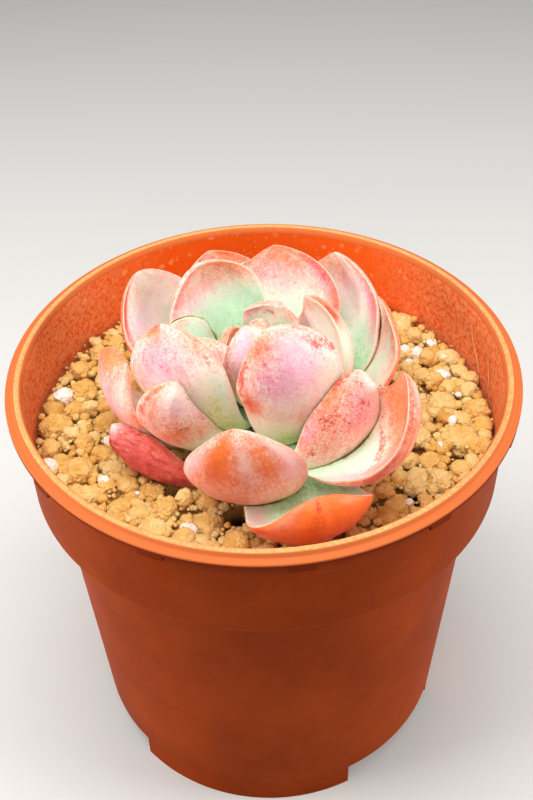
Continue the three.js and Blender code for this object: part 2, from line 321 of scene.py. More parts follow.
    def finish(self, colour: Colour, roughness: Value, normal: Socket | None = None,
               **fixed: object) -> bpy.types.Material:
        """End the graph in one surface shader.

        Args:
            colour: The base colour.
            roughness: The roughness.
            normal: The bumped normal, if there is one.
            fixed: Other sockets of the shader, with underscores for spaces, all plain values.

        Returns:
            The material.
        """
        shader = self.node("ShaderNodeBsdfPrincipled")
        self.feed(shader.inputs["Base Color"], colour)
        self.feed(shader.inputs["Roughness"], roughness)
        if normal is not None:
            self.feed(shader.inputs["Normal"], normal)
        for key, value in fixed.items():
            shader.inputs[key.replace("_", " ")].default_value = value
        output = self.node("ShaderNodeOutputMaterial")
        self.feed(output.inputs["Surface"], shader.outputs[0])
        return self.material


@dataclass(frozen=True)
class LeafFinish:
    """A waxy succulent leaf: green at its heart, flushed pink and orange-red where the sun has ripened it."""

    outer: tuple[tuple[float, str], ...] = (
        (0.0, "A5A03E"), (0.16, "CDC67C"), (0.32, "E2DBB0"), (0.46, "F0DBCD"),
        (0.58, "F1BFAE"), (0.7, "EE9272"), (0.84, "E56437"), (1.0, "CE3118"),
    )
    inner: tuple[tuple[float, str], ...] = (
        (0.0, "86B067"), (0.18, "ACD8A4"), (0.34, "C8E6C8"), (0.46, "E0DCCB"),
        (0.58, "EBBBA9"), (0.72, "E78D6E"), (0.86, "DE5C38"), (1.0, "C83018"),
    )
    washes: tuple[tuple[str, str], ...] = (
        ("mint", "BEE8CA"), ("pale", "F3E6DE"), ("lilac", "EFBEDA"), ("rose", "E27AA0"), ("amber", "EF7A2C"),
    )
    red: str = "CF2C18"
    fleck: str = "C2371B"
    wax: str = "FBEBE2"
    rim: str = "F8DCCB"
    brown: str = "A2603A"
    cloud_scale: float = 230
    mottle_scale: float = 900
    grain_scale: float = 3600
    streak_scales: tuple[float, float, float] = (15, 6, 70)
    dot_scale: float = 1500
    dot_patch_scale: float = 420
    fine_dot_scale: float = 4200
    frost_scale: float = 1900
    mottle_height: float = 0.12
    grain_height: float = 0.05

    def material(self) -> bpy.types.Material:
        """Build the leaf's material.

        Returns:
            The material, which reads the attributes that a leaf's mesh carries.
        """
        g = Graph("leaf")
        coarse = g.noise(self.cloud_scale)
        mottle = g.noise(self.mottle_scale, 4, 0.7)
        grain = g.noise(self.grain_scale, 3, 0.65)
        sources = (g.attribute("across"), g.attribute("along"), g.axis("Z"))
        lie = g.vector(*(g.product(source, scale) for source, scale in zip(sources, self.streak_scales)))
        streak = g.noise(1.0, 5, 0.72, lie)
        ripe = g.attribute("ripe")
        for noise_layer, amount in ((coarse, 0.3), (mottle, 0.4), (grain, 0.4), (streak, 0.42)):
            ripe = g.total(ripe, g.sway(noise_layer, amount))
        colour = g.mix(g.attribute("inner"), g.ramp(ripe, self.outer), g.ramp(ripe, self.inner))
        broken = g.total(0.9, g.sway(mottle, 1.6), g.sway(grain, 1.3), g.sway(streak, 1.2))
        for name, tint in self.washes:
            colour = g.mix(g.product(g.attribute(name), broken), colour, tint)
        colour = self.marked(g, colour, mottle, grain)
        skin = g.height(mottle, self.mottle_height * MM, 0.5)
        skin = g.height(grain, self.grain_height * MM, 0.6, skin)
        return g.finish(
            colour, g.total(0.42, g.sway(grain, 0.25)), skin,
            Subsurface_Weight=0.15, Subsurface_Radius=(1.0, 0.45, 0.3), Subsurface_Scale=0.0018,
            Sheen_Weight=0.08, Sheen_Roughness=0.45, Specular_IOR_Level=0.35,
        )

    def marked(self, g: Graph, colour: Socket, mottle: Socket, grain: Socket) -> Socket:
        """Lay the red blotches, the flecks, the brown scars, the wax and the pale margin over a colour.

        Args:
            g: The material's graph.
            colour: The colour below.
            mottle: The coarser noise.
            grain: The finer noise.

        Returns:
            The colour with its marks.
        """
        colour = g.mix(self.blotch(g, "red", mottle, grain), colour, self.red)
        dots = g.rise(g.noise(self.dot_scale, 3, 0.6), 0.56, 0.68, 0.8)
        chosen = g.rise(g.noise(self.dot_patch_scale, 2), 0.44, 0.62)
        colour = g.mix(g.product(g.attribute("fleck"), dots, chosen), colour, self.fleck)
        fine_dots = g.rise(g.noise(self.fine_dot_scale, 2), 0.57, 0.68, 0.6)
        colour = g.mix(g.product(g.attribute("fleck"), fine_dots), colour, self.fleck)
        colour = g.mix(self.blotch(g, "brown", mottle, grain), colour, self.brown)
        frost = g.rise(g.noise(self.frost_scale, 5, 0.7), 0.48, 0.66, 0.5)
        flushed = g.product(g.rise(g.attribute("ripe"), 0.95, 0.4), g.rise(g.attribute("ripe"), 0.35, 0.52))
        colour = g.mix(g.product(frost, flushed), colour, self.wax)
        edge = g.rise(g.math("ABSOLUTE", g.attribute("across")), 0.985, 0.998, 0.45)
        return g.mix(edge, colour, self.rim)

    @staticmethod
    def blotch(g: Graph, name: str, mottle: Socket, grain: Socket) -> Socket:
        """Turn a soft patch into a ragged one.

        Args:
            g: The material's graph.
            name: The patch's attribute.
            mottle: The coarser noise.
            grain: The finer noise.

        Returns:
            How much of the patch shows, from 0 to 1.
        """
        soft = g.attribute(name)
        ragged = g.rise(g.total(soft, g.sway(mottle, 1.3), g.sway(grain, 1.1)), 0.22, 0.8, 0.85)
        return g.product(ragged, g.rise(soft, 0.02, 0.25))


@dataclass(frozen=True)
class StemFinish:
    """The green-brown skin of the stem, with pale leaf scars."""

    skin: str = "6D7440"
    scar: str = "A79A6A"
    scar_scale: float = 700
    bark_scale: float = 1400
    bark_height: float = 0.3

    def material(self) -> bpy.types.Material:
        """Build the stem's material.

        Returns:
            The material.
        """
        g = Graph("stem")
        scars = g.rise(g.noise(self.scar_scale, 4), 0.5, 0.68)
        bark = g.height(g.noise(self.bark_scale, 4), self.bark_height * MM, 0.7)
        return g.finish(g.mix(scars, self.skin, self.scar), 0.7, bark)


@dataclass(frozen=True)
class GritFinish:
    """Baked akadama grit: ochre clods with a fine pitted face, darker the deeper they lie, partly damp and
    partly painted shade between and under them.
    """

    # deep and the damp colour below darken what lies low: partly damp, partly painted shade in the gaps and
    # holes
    deep: str = "2B1508"
    damp_and_shade: str = "9C642A"
    dark: str = "D39A48"
    ochre: str = "F6C66E"
    pale: str = "FFE9A6"
    patch_scale: float = 420
    pit_scale: float = 2200
    pore_scale: float = 1900
    lump_scale: float = 1100
    lump_height: float = 0.5
    pit_height: float = 0.4

    def material(self) -> bpy.types.Material:
        """Build the grit's material.

        Returns:
            The material, which reads the tone and buried attributes of the lumps.
        """
        g = Graph("soil")
        patches = g.noise(self.patch_scale, 4, 0.6)
        pits = g.noise(self.pit_scale, 5, 0.7)
        shade = g.total(g.attribute("tone"), 0.08, g.sway(patches, 1.1), g.sway(pits, 0.9))
        colour = g.ramp(shade, ((0.0, self.dark), (0.45, self.ochre), (1.0, self.pale)))
        # Darker with depth below the surface: partly damp, partly painted shade in the gaps between lumps and
        # in the holes.
        colour = g.mix(g.rise(g.attribute("buried"), 0.3, 1.0, 0.75), colour, self.damp_and_shade)
        colour = g.mix(g.rise(g.attribute("buried"), 0.85, 1.5), colour, self.deep)
        colour = g.mix(g.rise(g.cells(self.pore_scale), 0.28, 0.1, 0.35), colour, self.dark)
        face = g.height(g.noise(self.lump_scale, 3, 0.6), self.lump_height * MM, 0.6)
        face = g.height(pits, self.pit_height * MM, 1.0, face)
        return g.finish(colour, g.total(0.86, g.sway(pits, 0.1)), face, Specular_IOR_Level=0.15)


@dataclass(frozen=True)
class PerliteFinish:
    """Puffed white volcanic glass, pitted all over and dusted with ochre."""

    white: str = "FBF6EC"
    dust: str = "E2C08A"
    dust_scale: float = 900
    pit_scale: float = 2600
    pit_height: float = 0.3

    def material(self) -> bpy.types.Material:
        """Build the perlite's material.

        Returns:
            The material.
        """
        g = Graph("perlite")
        colour = g.mix(g.rise(g.noise(self.dust_scale, 4), 0.48, 0.7, 0.6), self.white, self.dust)
        return g.finish(colour, 0.8, g.height(g.cells(self.pit_scale), self.pit_height * MM, 0.8))


@dataclass(frozen=True)
class PotFinish:
    """Thin orange plastic: satin and scuffed outside, dusty inside. The outer face is darkened as painted
    shade and the inner face lightened as painted light through the wall, though both are one plastic.

    The pairs are heights in millimetres between which a colour comes in.
    """

    # outside is darkened as painted shade on the outer face
    outside: str = "9A3C0E"
    shade: str = "843008"
    # under is painted shade below the flange
    under: str = "5E1806"
    # a painted highlight along the band's foot
    foot_highlight: str = "C87A4C"
    # rim is a lighter orange on the rim's top: partly dust, partly painted light from above
    rim: str = "C86A3A"
    # inside is lightened as painted light through the wall on the inner face
    inside: str = "DC5A1C"
    inside_deep: str = "DE5212"
    lime: str = "F6B47E"
    dust: str = "EBA86C"
    scuff: str = "B5622C"
    painted_shade_heights: tuple[float, float] = (79.8, 83.6)
    lit_rim_heights: tuple[float, float] = (84.6, 85.0)
    foot_highlight_low: tuple[float, float] = (65.5, 65.8)
    foot_highlight_high: tuple[float, float] = (66.3, 66.0)
    dusty_sides: tuple[float, float] = (18.0, 43.0)
    cloud_scale: float = 45
    fine_scale: float = 700
    scuff_scale: float = 210
    crest_scale: float = 1500
    lime_scale: float = 1300
    drop_scale: float = 430
    drop_patch_scale: float = 120
    speck_scale: float = 1100
    speck_patch_scale: float = 150
    ripple_scale: float = 300
    ripple_height: float = 0.12

    def material(self) -> bpy.types.Material:
        """Build the plastic's material.

        Returns:
            The material, which reads the within and crest attributes of the pot's mesh.
        """
        g = Graph("pot")
        within = g.attribute("within")
        cloud = g.noise(self.cloud_scale, 4, 0.6)
        fine = g.noise(self.fine_scale, 4, 0.6)
        z = g.product(g.axis("Z"), 1 / MM)
        outside = self.outer_face(g, z, cloud, fine)
        # The inner face takes the lighter copy of the plastic and the outer face the darker one: painted
        # light and painted shade.
        colour = g.mix(within, outside, self.inner_face(g, cloud, fine))
        # The rim's top is painted lighter: partly dust, partly painted light from above.
        colour = g.mix(g.rise(z, *self.lit_rim_heights, 0.9), colour, self.rim)
        crest = g.total(0.65, g.sway(g.noise(self.crest_scale, 4, 0.7), 2.0))
        colour = g.mix(g.product(g.attribute("crest"), crest), colour, self.dust)
        rough = g.total(0.5, g.sway(fine, 0.12), g.product(within, 0.1))
        ripple = g.height(g.noise(self.ripple_scale, 4), self.ripple_height * MM, 0.3)
        return g.finish(colour, rough, ripple, Specular_IOR_Level=0.015)

    def outer_face(self, g: Graph, z: Socket, cloud: Socket, fine: Socket) -> Socket:
        """Colour the outer face, with painted shade under the flange and a painted highlight along the band's
        foot.

        Args:
            g: The material's graph.
            z: The height, in millimetres.
            cloud: A coarse noise.
            fine: A fine noise.

        Returns:
            The colour.
        """
        colour = g.mix(g.rise(cloud, 0.3, 0.75), self.shade, self.outside)
        scuffs = g.rise(g.noise(self.scuff_scale, 5, 0.75), 0.58, 0.78, 0.4)
        colour = g.mix(g.product(scuffs, g.rise(fine, 0.46, 0.7)), colour, self.scuff)
        # Painted shade: the band darkens towards the flange above it.
        colour = g.mix(g.rise(z, *self.painted_shade_heights, 0.6), colour, self.under)
        # Painted highlight: a thin paler line along the band's foot.
        foot = g.product(g.rise(z, *self.foot_highlight_low), g.rise(z, *self.foot_highlight_high))
        return g.mix(g.product(foot, g.rise(fine, 0.36, 0.52, 0.75)), colour, self.foot_highlight)

    def inner_face(self, g: Graph, cloud: Socket, fine: Socket) -> Socket:
        """Colour the inner face, which is dustiest at its two sides and speckled with dried drops.

        Args:
            g: The material's graph.
            cloud: A coarse noise.
            fine: A fine noise.

        Returns:
            The colour.
        """
        colour = g.mix(g.total(g.rise(cloud, 0.3, 0.7), g.sway(fine, 1.6)), self.inside_deep, self.inside)
        across = g.product(g.math("ABSOLUTE", g.axis("X")), 1 / MM)
        lime = g.rise(g.noise(self.lime_scale, 4, 0.7), 0.34, 0.6)
        colour = g.mix(g.product(g.rise(across, *self.dusty_sides, 0.65), lime), colour, self.lime)
        drops = g.product(g.rise(g.cells(self.drop_scale), 0.4, 0.16), g.rise(fine, 0.36, 0.6))
        shown = g.rise(g.noise(self.drop_patch_scale), 0.42, 0.6, 0.4)
        colour = g.mix(g.product(drops, shown), colour, self.lime)
        specks = g.rise(g.cells(self.speck_scale), 0.26, 0.08)
        shown = g.rise(g.noise(self.speck_patch_scale), 0.42, 0.62, 0.6)
        return g.mix(g.product(specks, shown), colour, self.dust)


@dataclass(frozen=True)
class RootFinish:
    """Dry root fibres."""

    pale: str = "E8B27C"
    dark: str = "C98A4E"
    patch_scale: float = 900
    skin_scale: float = 3000
    skin_height: float = 0.05

    def material(self) -> bpy.types.Material:
        """Build the root fibres' material.

        Returns:
            The material.
        """
        g = Graph("root")
        skin = g.height(g.noise(self.skin_scale), self.skin_height * MM)
        return g.finish(g.mix(g.noise(self.patch_scale), self.pale, self.dark), 0.8, skin)


@dataclass(frozen=True)
class FloorFinish:
    """A plain pale studio floor."""

    tone: str = "C9C8C6"
    cloud_scale: float = 40

    def material(self) -> bpy.types.Material:
        """Build the floor's material.

        Returns:
            The material.
        """
        g = Graph("floor")
        rough = g.total(0.85, g.sway(g.noise(self.cloud_scale), 0.1))
        return g.finish(self.tone, rough, None, Specular_IOR_Level=0.2)


def place_piece(name: str, mesh: bmesh.types.BMesh, material: bpy.types.Material,
                nodes: Iterable[str] = (), sharp: float | None = None) -> bpy.types.Object:
    """Turn a finished bmesh into a piece that rides on the model's body.

    Args:
        name: The piece's name.
        mesh: The mesh, in metres and in the model's frame. It is freed.
        material: Its material.
        nodes: The CAD nodes that it stands for.
        sharp: The angle in degrees past which an edge stays sharp, or None for none.

    Returns:
        The new object.
    """
    data = bpy.data.meshes.new(name)
    mesh.to_mesh(data)
    mesh.free()
    return place_mesh(name, data, material, nodes, sharp)


def place_mesh(name: str, data: bpy.types.Mesh, material: bpy.types.Material,
               nodes: Iterable[str] = (), sharp: float | None = None) -> bpy.types.Object:
    """Do what place_piece does for a mesh that is already Blender data.

    Args:
        name: The piece's name.
        data: The mesh, in metres and in the model's frame.
        material: Its material.
        nodes: The CAD nodes that it stands for.
        sharp: The angle in degrees past which an edge stays sharp, or None for none.

    Returns:
        The new object.
    """
    data.shade_smooth()
    if sharp is not None:
        data.set_sharp_from_angle(angle=math.radians(sharp))
    data.materials.clear()
    data.materials.append(material)
    piece = bpy.data.objects.new(name, data)
    bpy.context.scene.collection.objects.link(piece)
    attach(piece, BODY)
    for node in nodes:
        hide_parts(node)
    LOG.info("%s: %d faces", name, len(data.polygons))
    return piece


def keep_largest(mesh: bmesh.types.BMesh) -> None:
    """Delete all but the largest connected part of a mesh.

    Args:
        mesh: The mesh, which is changed in place.
    """
    left = set(mesh.verts)
    islands = []
    while left:
        island = {left.pop()}
        front = list(island)
        while front:
            for edge in front.pop().link_edges:
                for vert in edge.verts:
                    if vert in left:
                        left.remove(vert)
                        island.add(vert)
                        front.append(vert)
        islands.append(island)
    islands.sort(key=len)
    scraps = [vert for island in islands[:-1] for vert in island]
    bmesh.ops.delete(mesh, geom=scraps, context="VERTS")


def combine(mesh: bmesh.types.BMesh, cutters: Sequence[bmesh.types.BMesh],
            operation: str) -> bmesh.types.BMesh:
    """Cut or join closed meshes.

    Args:
        mesh: The mesh to change. It is freed.
        cutters: The closed meshes to subtract or to add. They are kept.
        operation: DIFFERENCE or UNION.

    Returns:
        The new mesh, with its attributes.
    """
    names = ["combine_target"] + [f"combine_{i}" for i in range(len(cutters))]
    made = []
    for name, source in zip(names, [mesh, *cutters]):
        data = bpy.data.meshes.new(name)
        source.to_mesh(data)
        made.append(bpy.data.objects.new(name, data))
        bpy.context.scene.collection.objects.link(made[-1])
    mesh.free()
    for cutter in made[1:]:
        step = made[0].modifiers.new(cutter.name, "BOOLEAN")
        step.operation = operation
        step.solver = "MANIFOLD"
        step.object = cutter
    graph = bpy.context.evaluated_depsgraph_get()
    result = bpy.data.meshes.new_from_object(made[0].evaluated_get(graph))
    combined = bmesh.new()
    combined.from_mesh(result)
    bpy.data.meshes.remove(result)
    for item in made:
        data = item.data
        bpy.data.objects.remove(item)
        bpy.data.meshes.remove(data)
    return combined


def span(mesh: bmesh.types.BMesh) -> tuple[Vector, Vector]:
    """Find the box round a mesh.

    Args:
        mesh: The mesh.

    Returns:
        Its lowest and highest corner, in metres.
    """
    corners = [vert.co for vert in mesh.verts]
    low = Vector(min(c[i] for c in corners) for i in range(3))
    high = Vector(max(c[i] for c in corners) for i in range(3))
    return low, high


def spans_meet(a: tuple[Vector, Vector], b: tuple[Vector, Vector]) -> bool:
    """Say whether two boxes overlap."""
    return all(a[0][i] <= b[1][i] and b[0][i] <= a[1][i] for i in range(3))


class Face(Enum):
    """The side of a leaf."""

    INNER = "inner"
    OUTER = "outer"


class Mark(Enum):
    """What a patch on a leaf is, by the attribute that it adds to."""

    FLAME = "ripe"
    GREEN = "green"
    ROSE = "rose"
    LILAC = "lilac"
    AMBER = "amber"
    RED = "red"
    PALE = "pale"
    MINT = "mint"
    FLECK = "fleck"
    BROWN = "brown"


PatchRow = tuple[Mark, float, float, float, float, float]


@dataclass(frozen=True)
class Patch:
    """A soft-edged patch of colour on one face of a leaf.

    along runs from 0 at the base to 1 at the tip and across from -1 to 1 between the margins. reach and
    spread are its half sizes in the same units. A row is all of this but the face, in this order.
    """

    face: Face
    mark: Mark
    along: float
    across: float
    reach: float
    spread: float
    strength: float

    def weight(self, along: float, across: float, inner: float) -> float:
        """Work out how strong the patch is at one place.

        Args:
            along: The place along the leaf, from 0 at the base to 1 at the tip.
            across: The place across it, from -1 at one margin to 1 at the other.
            inner: 1 on the inner face, 0 on the outer face.

        Returns:
            The strength there.
        """
        share = inner if self.face is Face.INNER else 1 - inner
        d = ((along - self.along) / self.reach) ** 2 + ((across - self.across) / self.spread) ** 2
        return self.strength * share * math.exp(-d)


@dataclass(frozen=True)
class Stem:
    """The short stem that the leaves grow from, leaning back above the soil."""

    x: float = -1.0
    y: float = -2.0
    foot: float = 52.0
    collar: float = 72.0
    top: float = 84.0
    foot_radius: float = 2.0
    collar_radius: float = 5.0
    collar_taper: float = 0.5
    top_radius: float = 2.0
    lean_x: float = -0.1
    lean_y: float = 0.45
    bend_height: float = 75.0
    bark: float = 0.25
    bark_scale: float = 600
    steps: int = 32

    def axis(self, height: float) -> tuple[float, float]:
        """Return where the stem's middle is at a height."""
        above = max(0.0, height - self.bend_height)
        return self.x + self.lean_x * above, self.y + self.lean_y * above

    def mesh(self, grow: float = 0.0) -> bmesh.types.BMesh:
        """Spin the stem's outline and bend it.

        Args:
            grow: How far its skin is moved out, in millimetres.

        Returns:
            The closed mesh.
        """
        outline = [
            (0.0, self.foot - grow), (self.foot_radius + grow, self.foot - grow),
            (self.collar_radius + grow, self.collar),
            (self.collar_radius - self.collar_taper + grow, self.bend_height),
            (self.top_radius + grow, self.top + grow), (0.0, self.top + grow),
        ]
        made = spin_outline(outline, self.steps)
        for vert in made.verts:
            x, y = self.axis(vert.co.z / MM)
            vert.co.x += x * MM
            vert.co.y += y * MM
        return made

    def build(self) -> bpy.types.Object:
        """Make the stem's piece.

        Returns:
            The piece.
        """
        made = self.mesh()
        bmesh.ops.subdivide_edges(made, edges=made.edges, cuts=2, use_grid_fill=True)
        for vert in made.verts:
            bump = self.bark * noise.noise(vert.co * self.bark_scale)
            out = Vector((vert.co.x / MM - self.x, vert.co.y / MM - self.y, 0)).normalized()
            vert.co += out * bump * MM * smooth(self.foot, self.collar, vert.co.z / MM)
        return place_piece("stem_skin", made, StemFinish().material(), ["stem"], SHARP_EDGE)


def spin_outline(outline: Sequence[tuple[float, float]], steps: int,
                 rounding: float = 0.0) -> bmesh.types.BMesh:
    """Spin an outline about the vertical axis into a closed mesh.

    Args:
        outline: Radius and height of each corner, in millimetres. It starts and ends on the axis.
        steps: How many steps a full turn has.
        rounding: How far each corner off the axis is rounded, in millimetres.

    Returns:
        The closed mesh, with its faces pointing out.
    """
    made = bmesh.new()
    corners = [made.verts.new((radius * MM, 0, height * MM)) for radius, height in outline]
    for a, b in zip(corners, corners[1:]):
        made.edges.new((a, b))
    if rounding:
        turned = [v for v in corners if v.co.x > 0]
        bmesh.ops.bevel(
            made, geom=turned, offset=rounding * MM, offset_type="OFFSET", segments=3, profile=0.5,
            affect="VERTICES", clamp_overlap=True, material=-1,
        )
    bmesh.ops.spin(
        made, geom=list(made.verts) + list(made.edges), cent=(0, 0, 0), axis=(0, 0, 1),
        angle=math.tau, steps=steps, use_merge=True,
    )
    bmesh.ops.remove_doubles(made, verts=made.verts, dist=1e-6)
    bmesh.ops.recalc_face_normals(made, faces=made.faces)
    return made


@dataclass(frozen=True)
class SpineFrame:
    """One step along a leaf's midrib."""

    at: Vector
    along: Vector
    side: Vector
    up: Vector


@dataclass(frozen=True)
class Leaf:
    """One leaf: where it leaves the stem, how its midrib and blade bend, and how it is coloured.

    az is the bearing on which it leaves the stem and rise the height of its base. el0 and el1 are the slope
    of the midrib at the base and at the tip, and bend how late it turns up. cup is the arc that the blade
    bends through, roll its turn about the midrib, and lean how far the midrib curves sideways. Angles are
    degrees and lengths millimetres. Each pair in inner and outer is how ripe that face is low and high.
    The values below wrinkle are the same for every leaf.
    """

    number: int
    az: float
    rise: float
    el0: float
    el1: float
    length: float
    width: float = 18.0
    start: float = 3.0
    bend: float = 1.5
    base: float = 0.36
    widest: float = 0.66
    thick: float = 3.4
    cup: float = 70.0
    roll: float = 0.0
    lean: float = 0.0
    point: float = 0.66
    inner: tuple[float, float] = (0.2, 0.62)
    outer: tuple[float, float] = (0.28, 0.6)
    margin: float = 0.12
    fleck: float = 0.35
    wave: float = 0.2
    wrinkle: float = 0.0
    swell: ClassVar[float] = 0.3
    dimple: ClassVar[float] = 0.08
    waves: ClassVar[float] = 19
    keel: ClassVar[float] = 0.35
    keel_width: ClassVar[float] = 0.22
    folds: ClassVar[float] = 3.2
    upper_share: ClassVar[float] = 0.28
    base_end: ClassVar[float] = 0.06
    thickest: ClassVar[float] = 0.4
    spine_steps: ClassVar[int] = 32

    @property
    def node(self) -> str:
        """The CAD node's name."""
        return f"leaf_{self.number:02d}"

    def end_rounding(self, u: float) -> float:
        """Round the base end off."""
        t = max(0.0, 1 - u / self.base_end)
        return math.sqrt(max(0.0, 1 - t * t))

    def width_share(self, u: float) -> float:
        """Work out how wide the leaf is at one place.

        Args:
            u: The place along the leaf, from 0 at the base to 1 at the tip.

        Returns:
            The half width there as a share of the largest.
        """
        if u > self.widest:
            t = (u - self.widest) / (1 - self.widest)
            return max(0.0, 1 - t * t) ** self.point
        swell = math.sin(math.pi / 2 * u / self.widest) ** 1.5
        return (self.base + (1 - self.base) * swell) * self.end_rounding(u)

    def thickness_share(self, u: float) -> float:
        """Work out how thick the leaf is at one place.

        Args:
            u: The place along the leaf, from 0 at the base to 1 at the tip.

        Returns:
            The thickness there as a share of the largest.
        """
        if u > self.thickest:
            t = (u - self.thickest) / (1 - self.thickest)
            return math.sqrt(max(0.0, 1 - t ** 2.4))
        return (0.8 + 0.2 * smooth(0, self.thickest, u)) * self.end_rounding(u)

    def spine(self, stem: Stem) -> list[SpineFrame]:
        """Walk along the midrib.

        Args:
            stem: The stem that it grows from.

        Returns:
            The frames from the base to the tip, in millimetres.
        """
        az = math.radians(self.az)
        x, y = stem.axis(self.rise)
        at = Vector((x + self.start * math.cos(az), y + self.start * math.sin(az), self.rise))
        flat_side = Vector((-math.sin(az), math.cos(az), 0))
        frames = []
        for i in range(self.spine_steps + 1):
            u = i / self.spine_steps
            el = math.radians(self.el0 + (self.el1 - self.el0) * u ** self.bend)
            straight = Vector((math.cos(az) * math.cos(el), math.sin(az) * math.cos(el), math.sin(el)))
            turn = Matrix.Rotation(math.radians(self.roll) * u, 3, straight)
            up = turn @ straight.cross(flat_side)
            swing = Matrix.Rotation(math.radians(self.lean) * u, 3, up)
            along = swing @ straight
            frames.append(SpineFrame(at.copy(), along, swing @ (turn @ flat_side), up))
            at += along * (self.length / self.spine_steps)
        return frames

    def surface(self, frames: Sequence[SpineFrame], u: float, phi: float, grow: float,
                detail: bool) -> Vector:
        """Find the point of the leaf's skin at a place on it.

        Args:
            frames: The midrib's frames.
            u: How far along the leaf, from 0 to 1.
            phi: The angle round the section, 0 at one margin and a quarter turn on the upper face.
            grow: How far the skin is moved out, in millimetres.
            detail: Whether waves, wrinkles and the keel are added.

        Returns:
            The point, in millimetres.
        """
        ringed = min(1.0, 3 * math.sqrt(max(0.0, 4 * u * (1 - u))))
        across = math.cos(phi) * (self.width / 2 * self.width_share(u) + grow * ringed)
        rise = math.sin(phi)
        share = self.upper_share if rise > 0 else 1 - self.upper_share
        lift = rise * (self.thick * share * self.thickness_share(u) + grow * ringed)
        if detail:
            lift += self.relief(u, math.cos(phi), rise)
        theta = across * math.radians(self.cup) / self.width * smooth(0.08, 0.6, u)
        flat = abs(theta) < 1e-6
        steps = len(frames) - 1
        k = min(steps - 1, int(u * steps))
        f = u * steps - k
        a, b = frames[k], frames[k + 1]
        at = a.at.lerp(b.at, f)
        side = a.side.lerp(b.side, f).normalized()
        up = a.up.lerp(b.up, f).normalized()
        at += side * (across * (1 if flat else math.sin(theta) / theta) - lift * math.sin(theta))
        at += up * (across * (0 if flat else (1 - math.cos(theta)) / theta) + lift * math.cos(theta))
        return at + a.along * grow * (2 * u - 1)

    def relief(self, u: float, v: float, rise: float) -> float:
        """Return the fine relief of the skin in millimetres.

        Args:
            u: How far along the leaf, from 0 to 1.
            v: How far across it, from -1 to 1.
            rise: 1 on the middle of the upper face, -1 on that of the lower face.

        Returns:
            The sum of uneven flesh, wavy margins, the keel below and the wrinkles.
        """
        here = Vector((u * self.length * 0.16, v * self.width * 0.1, self.number * 7.3 + 0.35 * rise))
        uneven = self.swell * noise.noise(here) + self.dimple * noise.noise(here * 4)
        wavy = self.wave * abs(v) ** 5 * math.sin(u * self.waves + self.number) * smooth(0.3, 0.7, u)
        ridge = math.exp(-(v / self.keel_width) ** 2)
        keel = -self.keel * max(0.0, -rise) * ridge * smooth(0.55, 1.0, u)
        lines = math.sin((v * self.folds + 1.8 * noise.noise(here * 4)) * math.pi) ** 2
        wrinkles = -self.wrinkle * lines * smooth(0.2, 0.45, u) * (0.6 + 0.4 * noise.noise(here * 2))
        return (uneven + wavy + keel + wrinkles) * smooth(0, 0.15, u) * smooth(1.0, 0.93, u)

    def mesh(self, stem: Stem, rounds: int, alongs: int, grow: float = 0.0,
             detail: bool = True) -> bmesh.types.BMesh:
        """Bend a sphere into the leaf.

        Args:
            stem: The stem that it grows from.
            rounds: How many sides its section has.
            alongs: How many rings it has from base to tip.
            grow: How far the skin is moved out, in millimetres.
            detail: Whether the fine relief and the colour attributes are added.

        Returns:
            The closed mesh, in metres.
        """
        frames = self.spine(stem)
        made = bmesh.new()
        bmesh.ops.create_uvsphere(made, u_segments=rounds, v_segments=alongs, radius=1.0)
        layers = [made.verts.layers.float.new(name) for name in LEAF_LAYERS] if detail else []
        for vert in made.verts:
            x, y, z = vert.co
            u = min(1.0, max(0.0, (1 + z) / 2))
            phi = math.atan2(y, x)
            vert.co = self.surface(frames, u, phi, grow, detail) * MM
            for layer, value in zip(layers, self.tints(u, phi) if detail else ()):
                vert[layer] = value
        return made

    def tints(self, u: float, phi: float) -> tuple[float, ...]:
        """Work out the attributes of one place on the skin.

        Args:
            u: The place along the leaf, from 0 at the base to 1 at the tip.
            phi: The place round the section, in radians.

        Returns:
            The values in the order of LEAF_LAYERS.
        """
        v = math.cos(phi)
        inner = smooth(-0.2, 0.2, math.sin(phi))
        on_inner = blend(*self.inner, smooth(0.3, 1.0, u)) + self.margin * abs(v) ** 3 * smooth(0.2, 0.6, u)
        on_outer = blend(*self.outer, smooth(0.12, 0.62, u)) + 0.5 * self.margin * abs(v) ** 4
        added = dict.fromkeys(Mark, 0.0)
        for patch in PATCHES.get(self.number, ()):
            added[patch.mark] += patch.weight(u, v, inner)
        added[Mark.FLAME] += blend(on_outer, on_inner, inner) - added.pop(Mark.GREEN)
        added[Mark.FLECK] += self.fleck * smooth(0.25, 0.7, u)
        return u, v, inner, *added.values()


def on_inner(*rows: PatchRow) -> tuple[Patch, ...]:
    """Return the patches on a leaf's inner face."""
    return tuple(Patch(Face.INNER, *row) for row in rows)


def on_outer(*rows: PatchRow) -> tuple[Patch, ...]:
    """Return the patches on a leaf's outer face."""
    return tuple(Patch(Face.OUTER, *row) for row in rows)


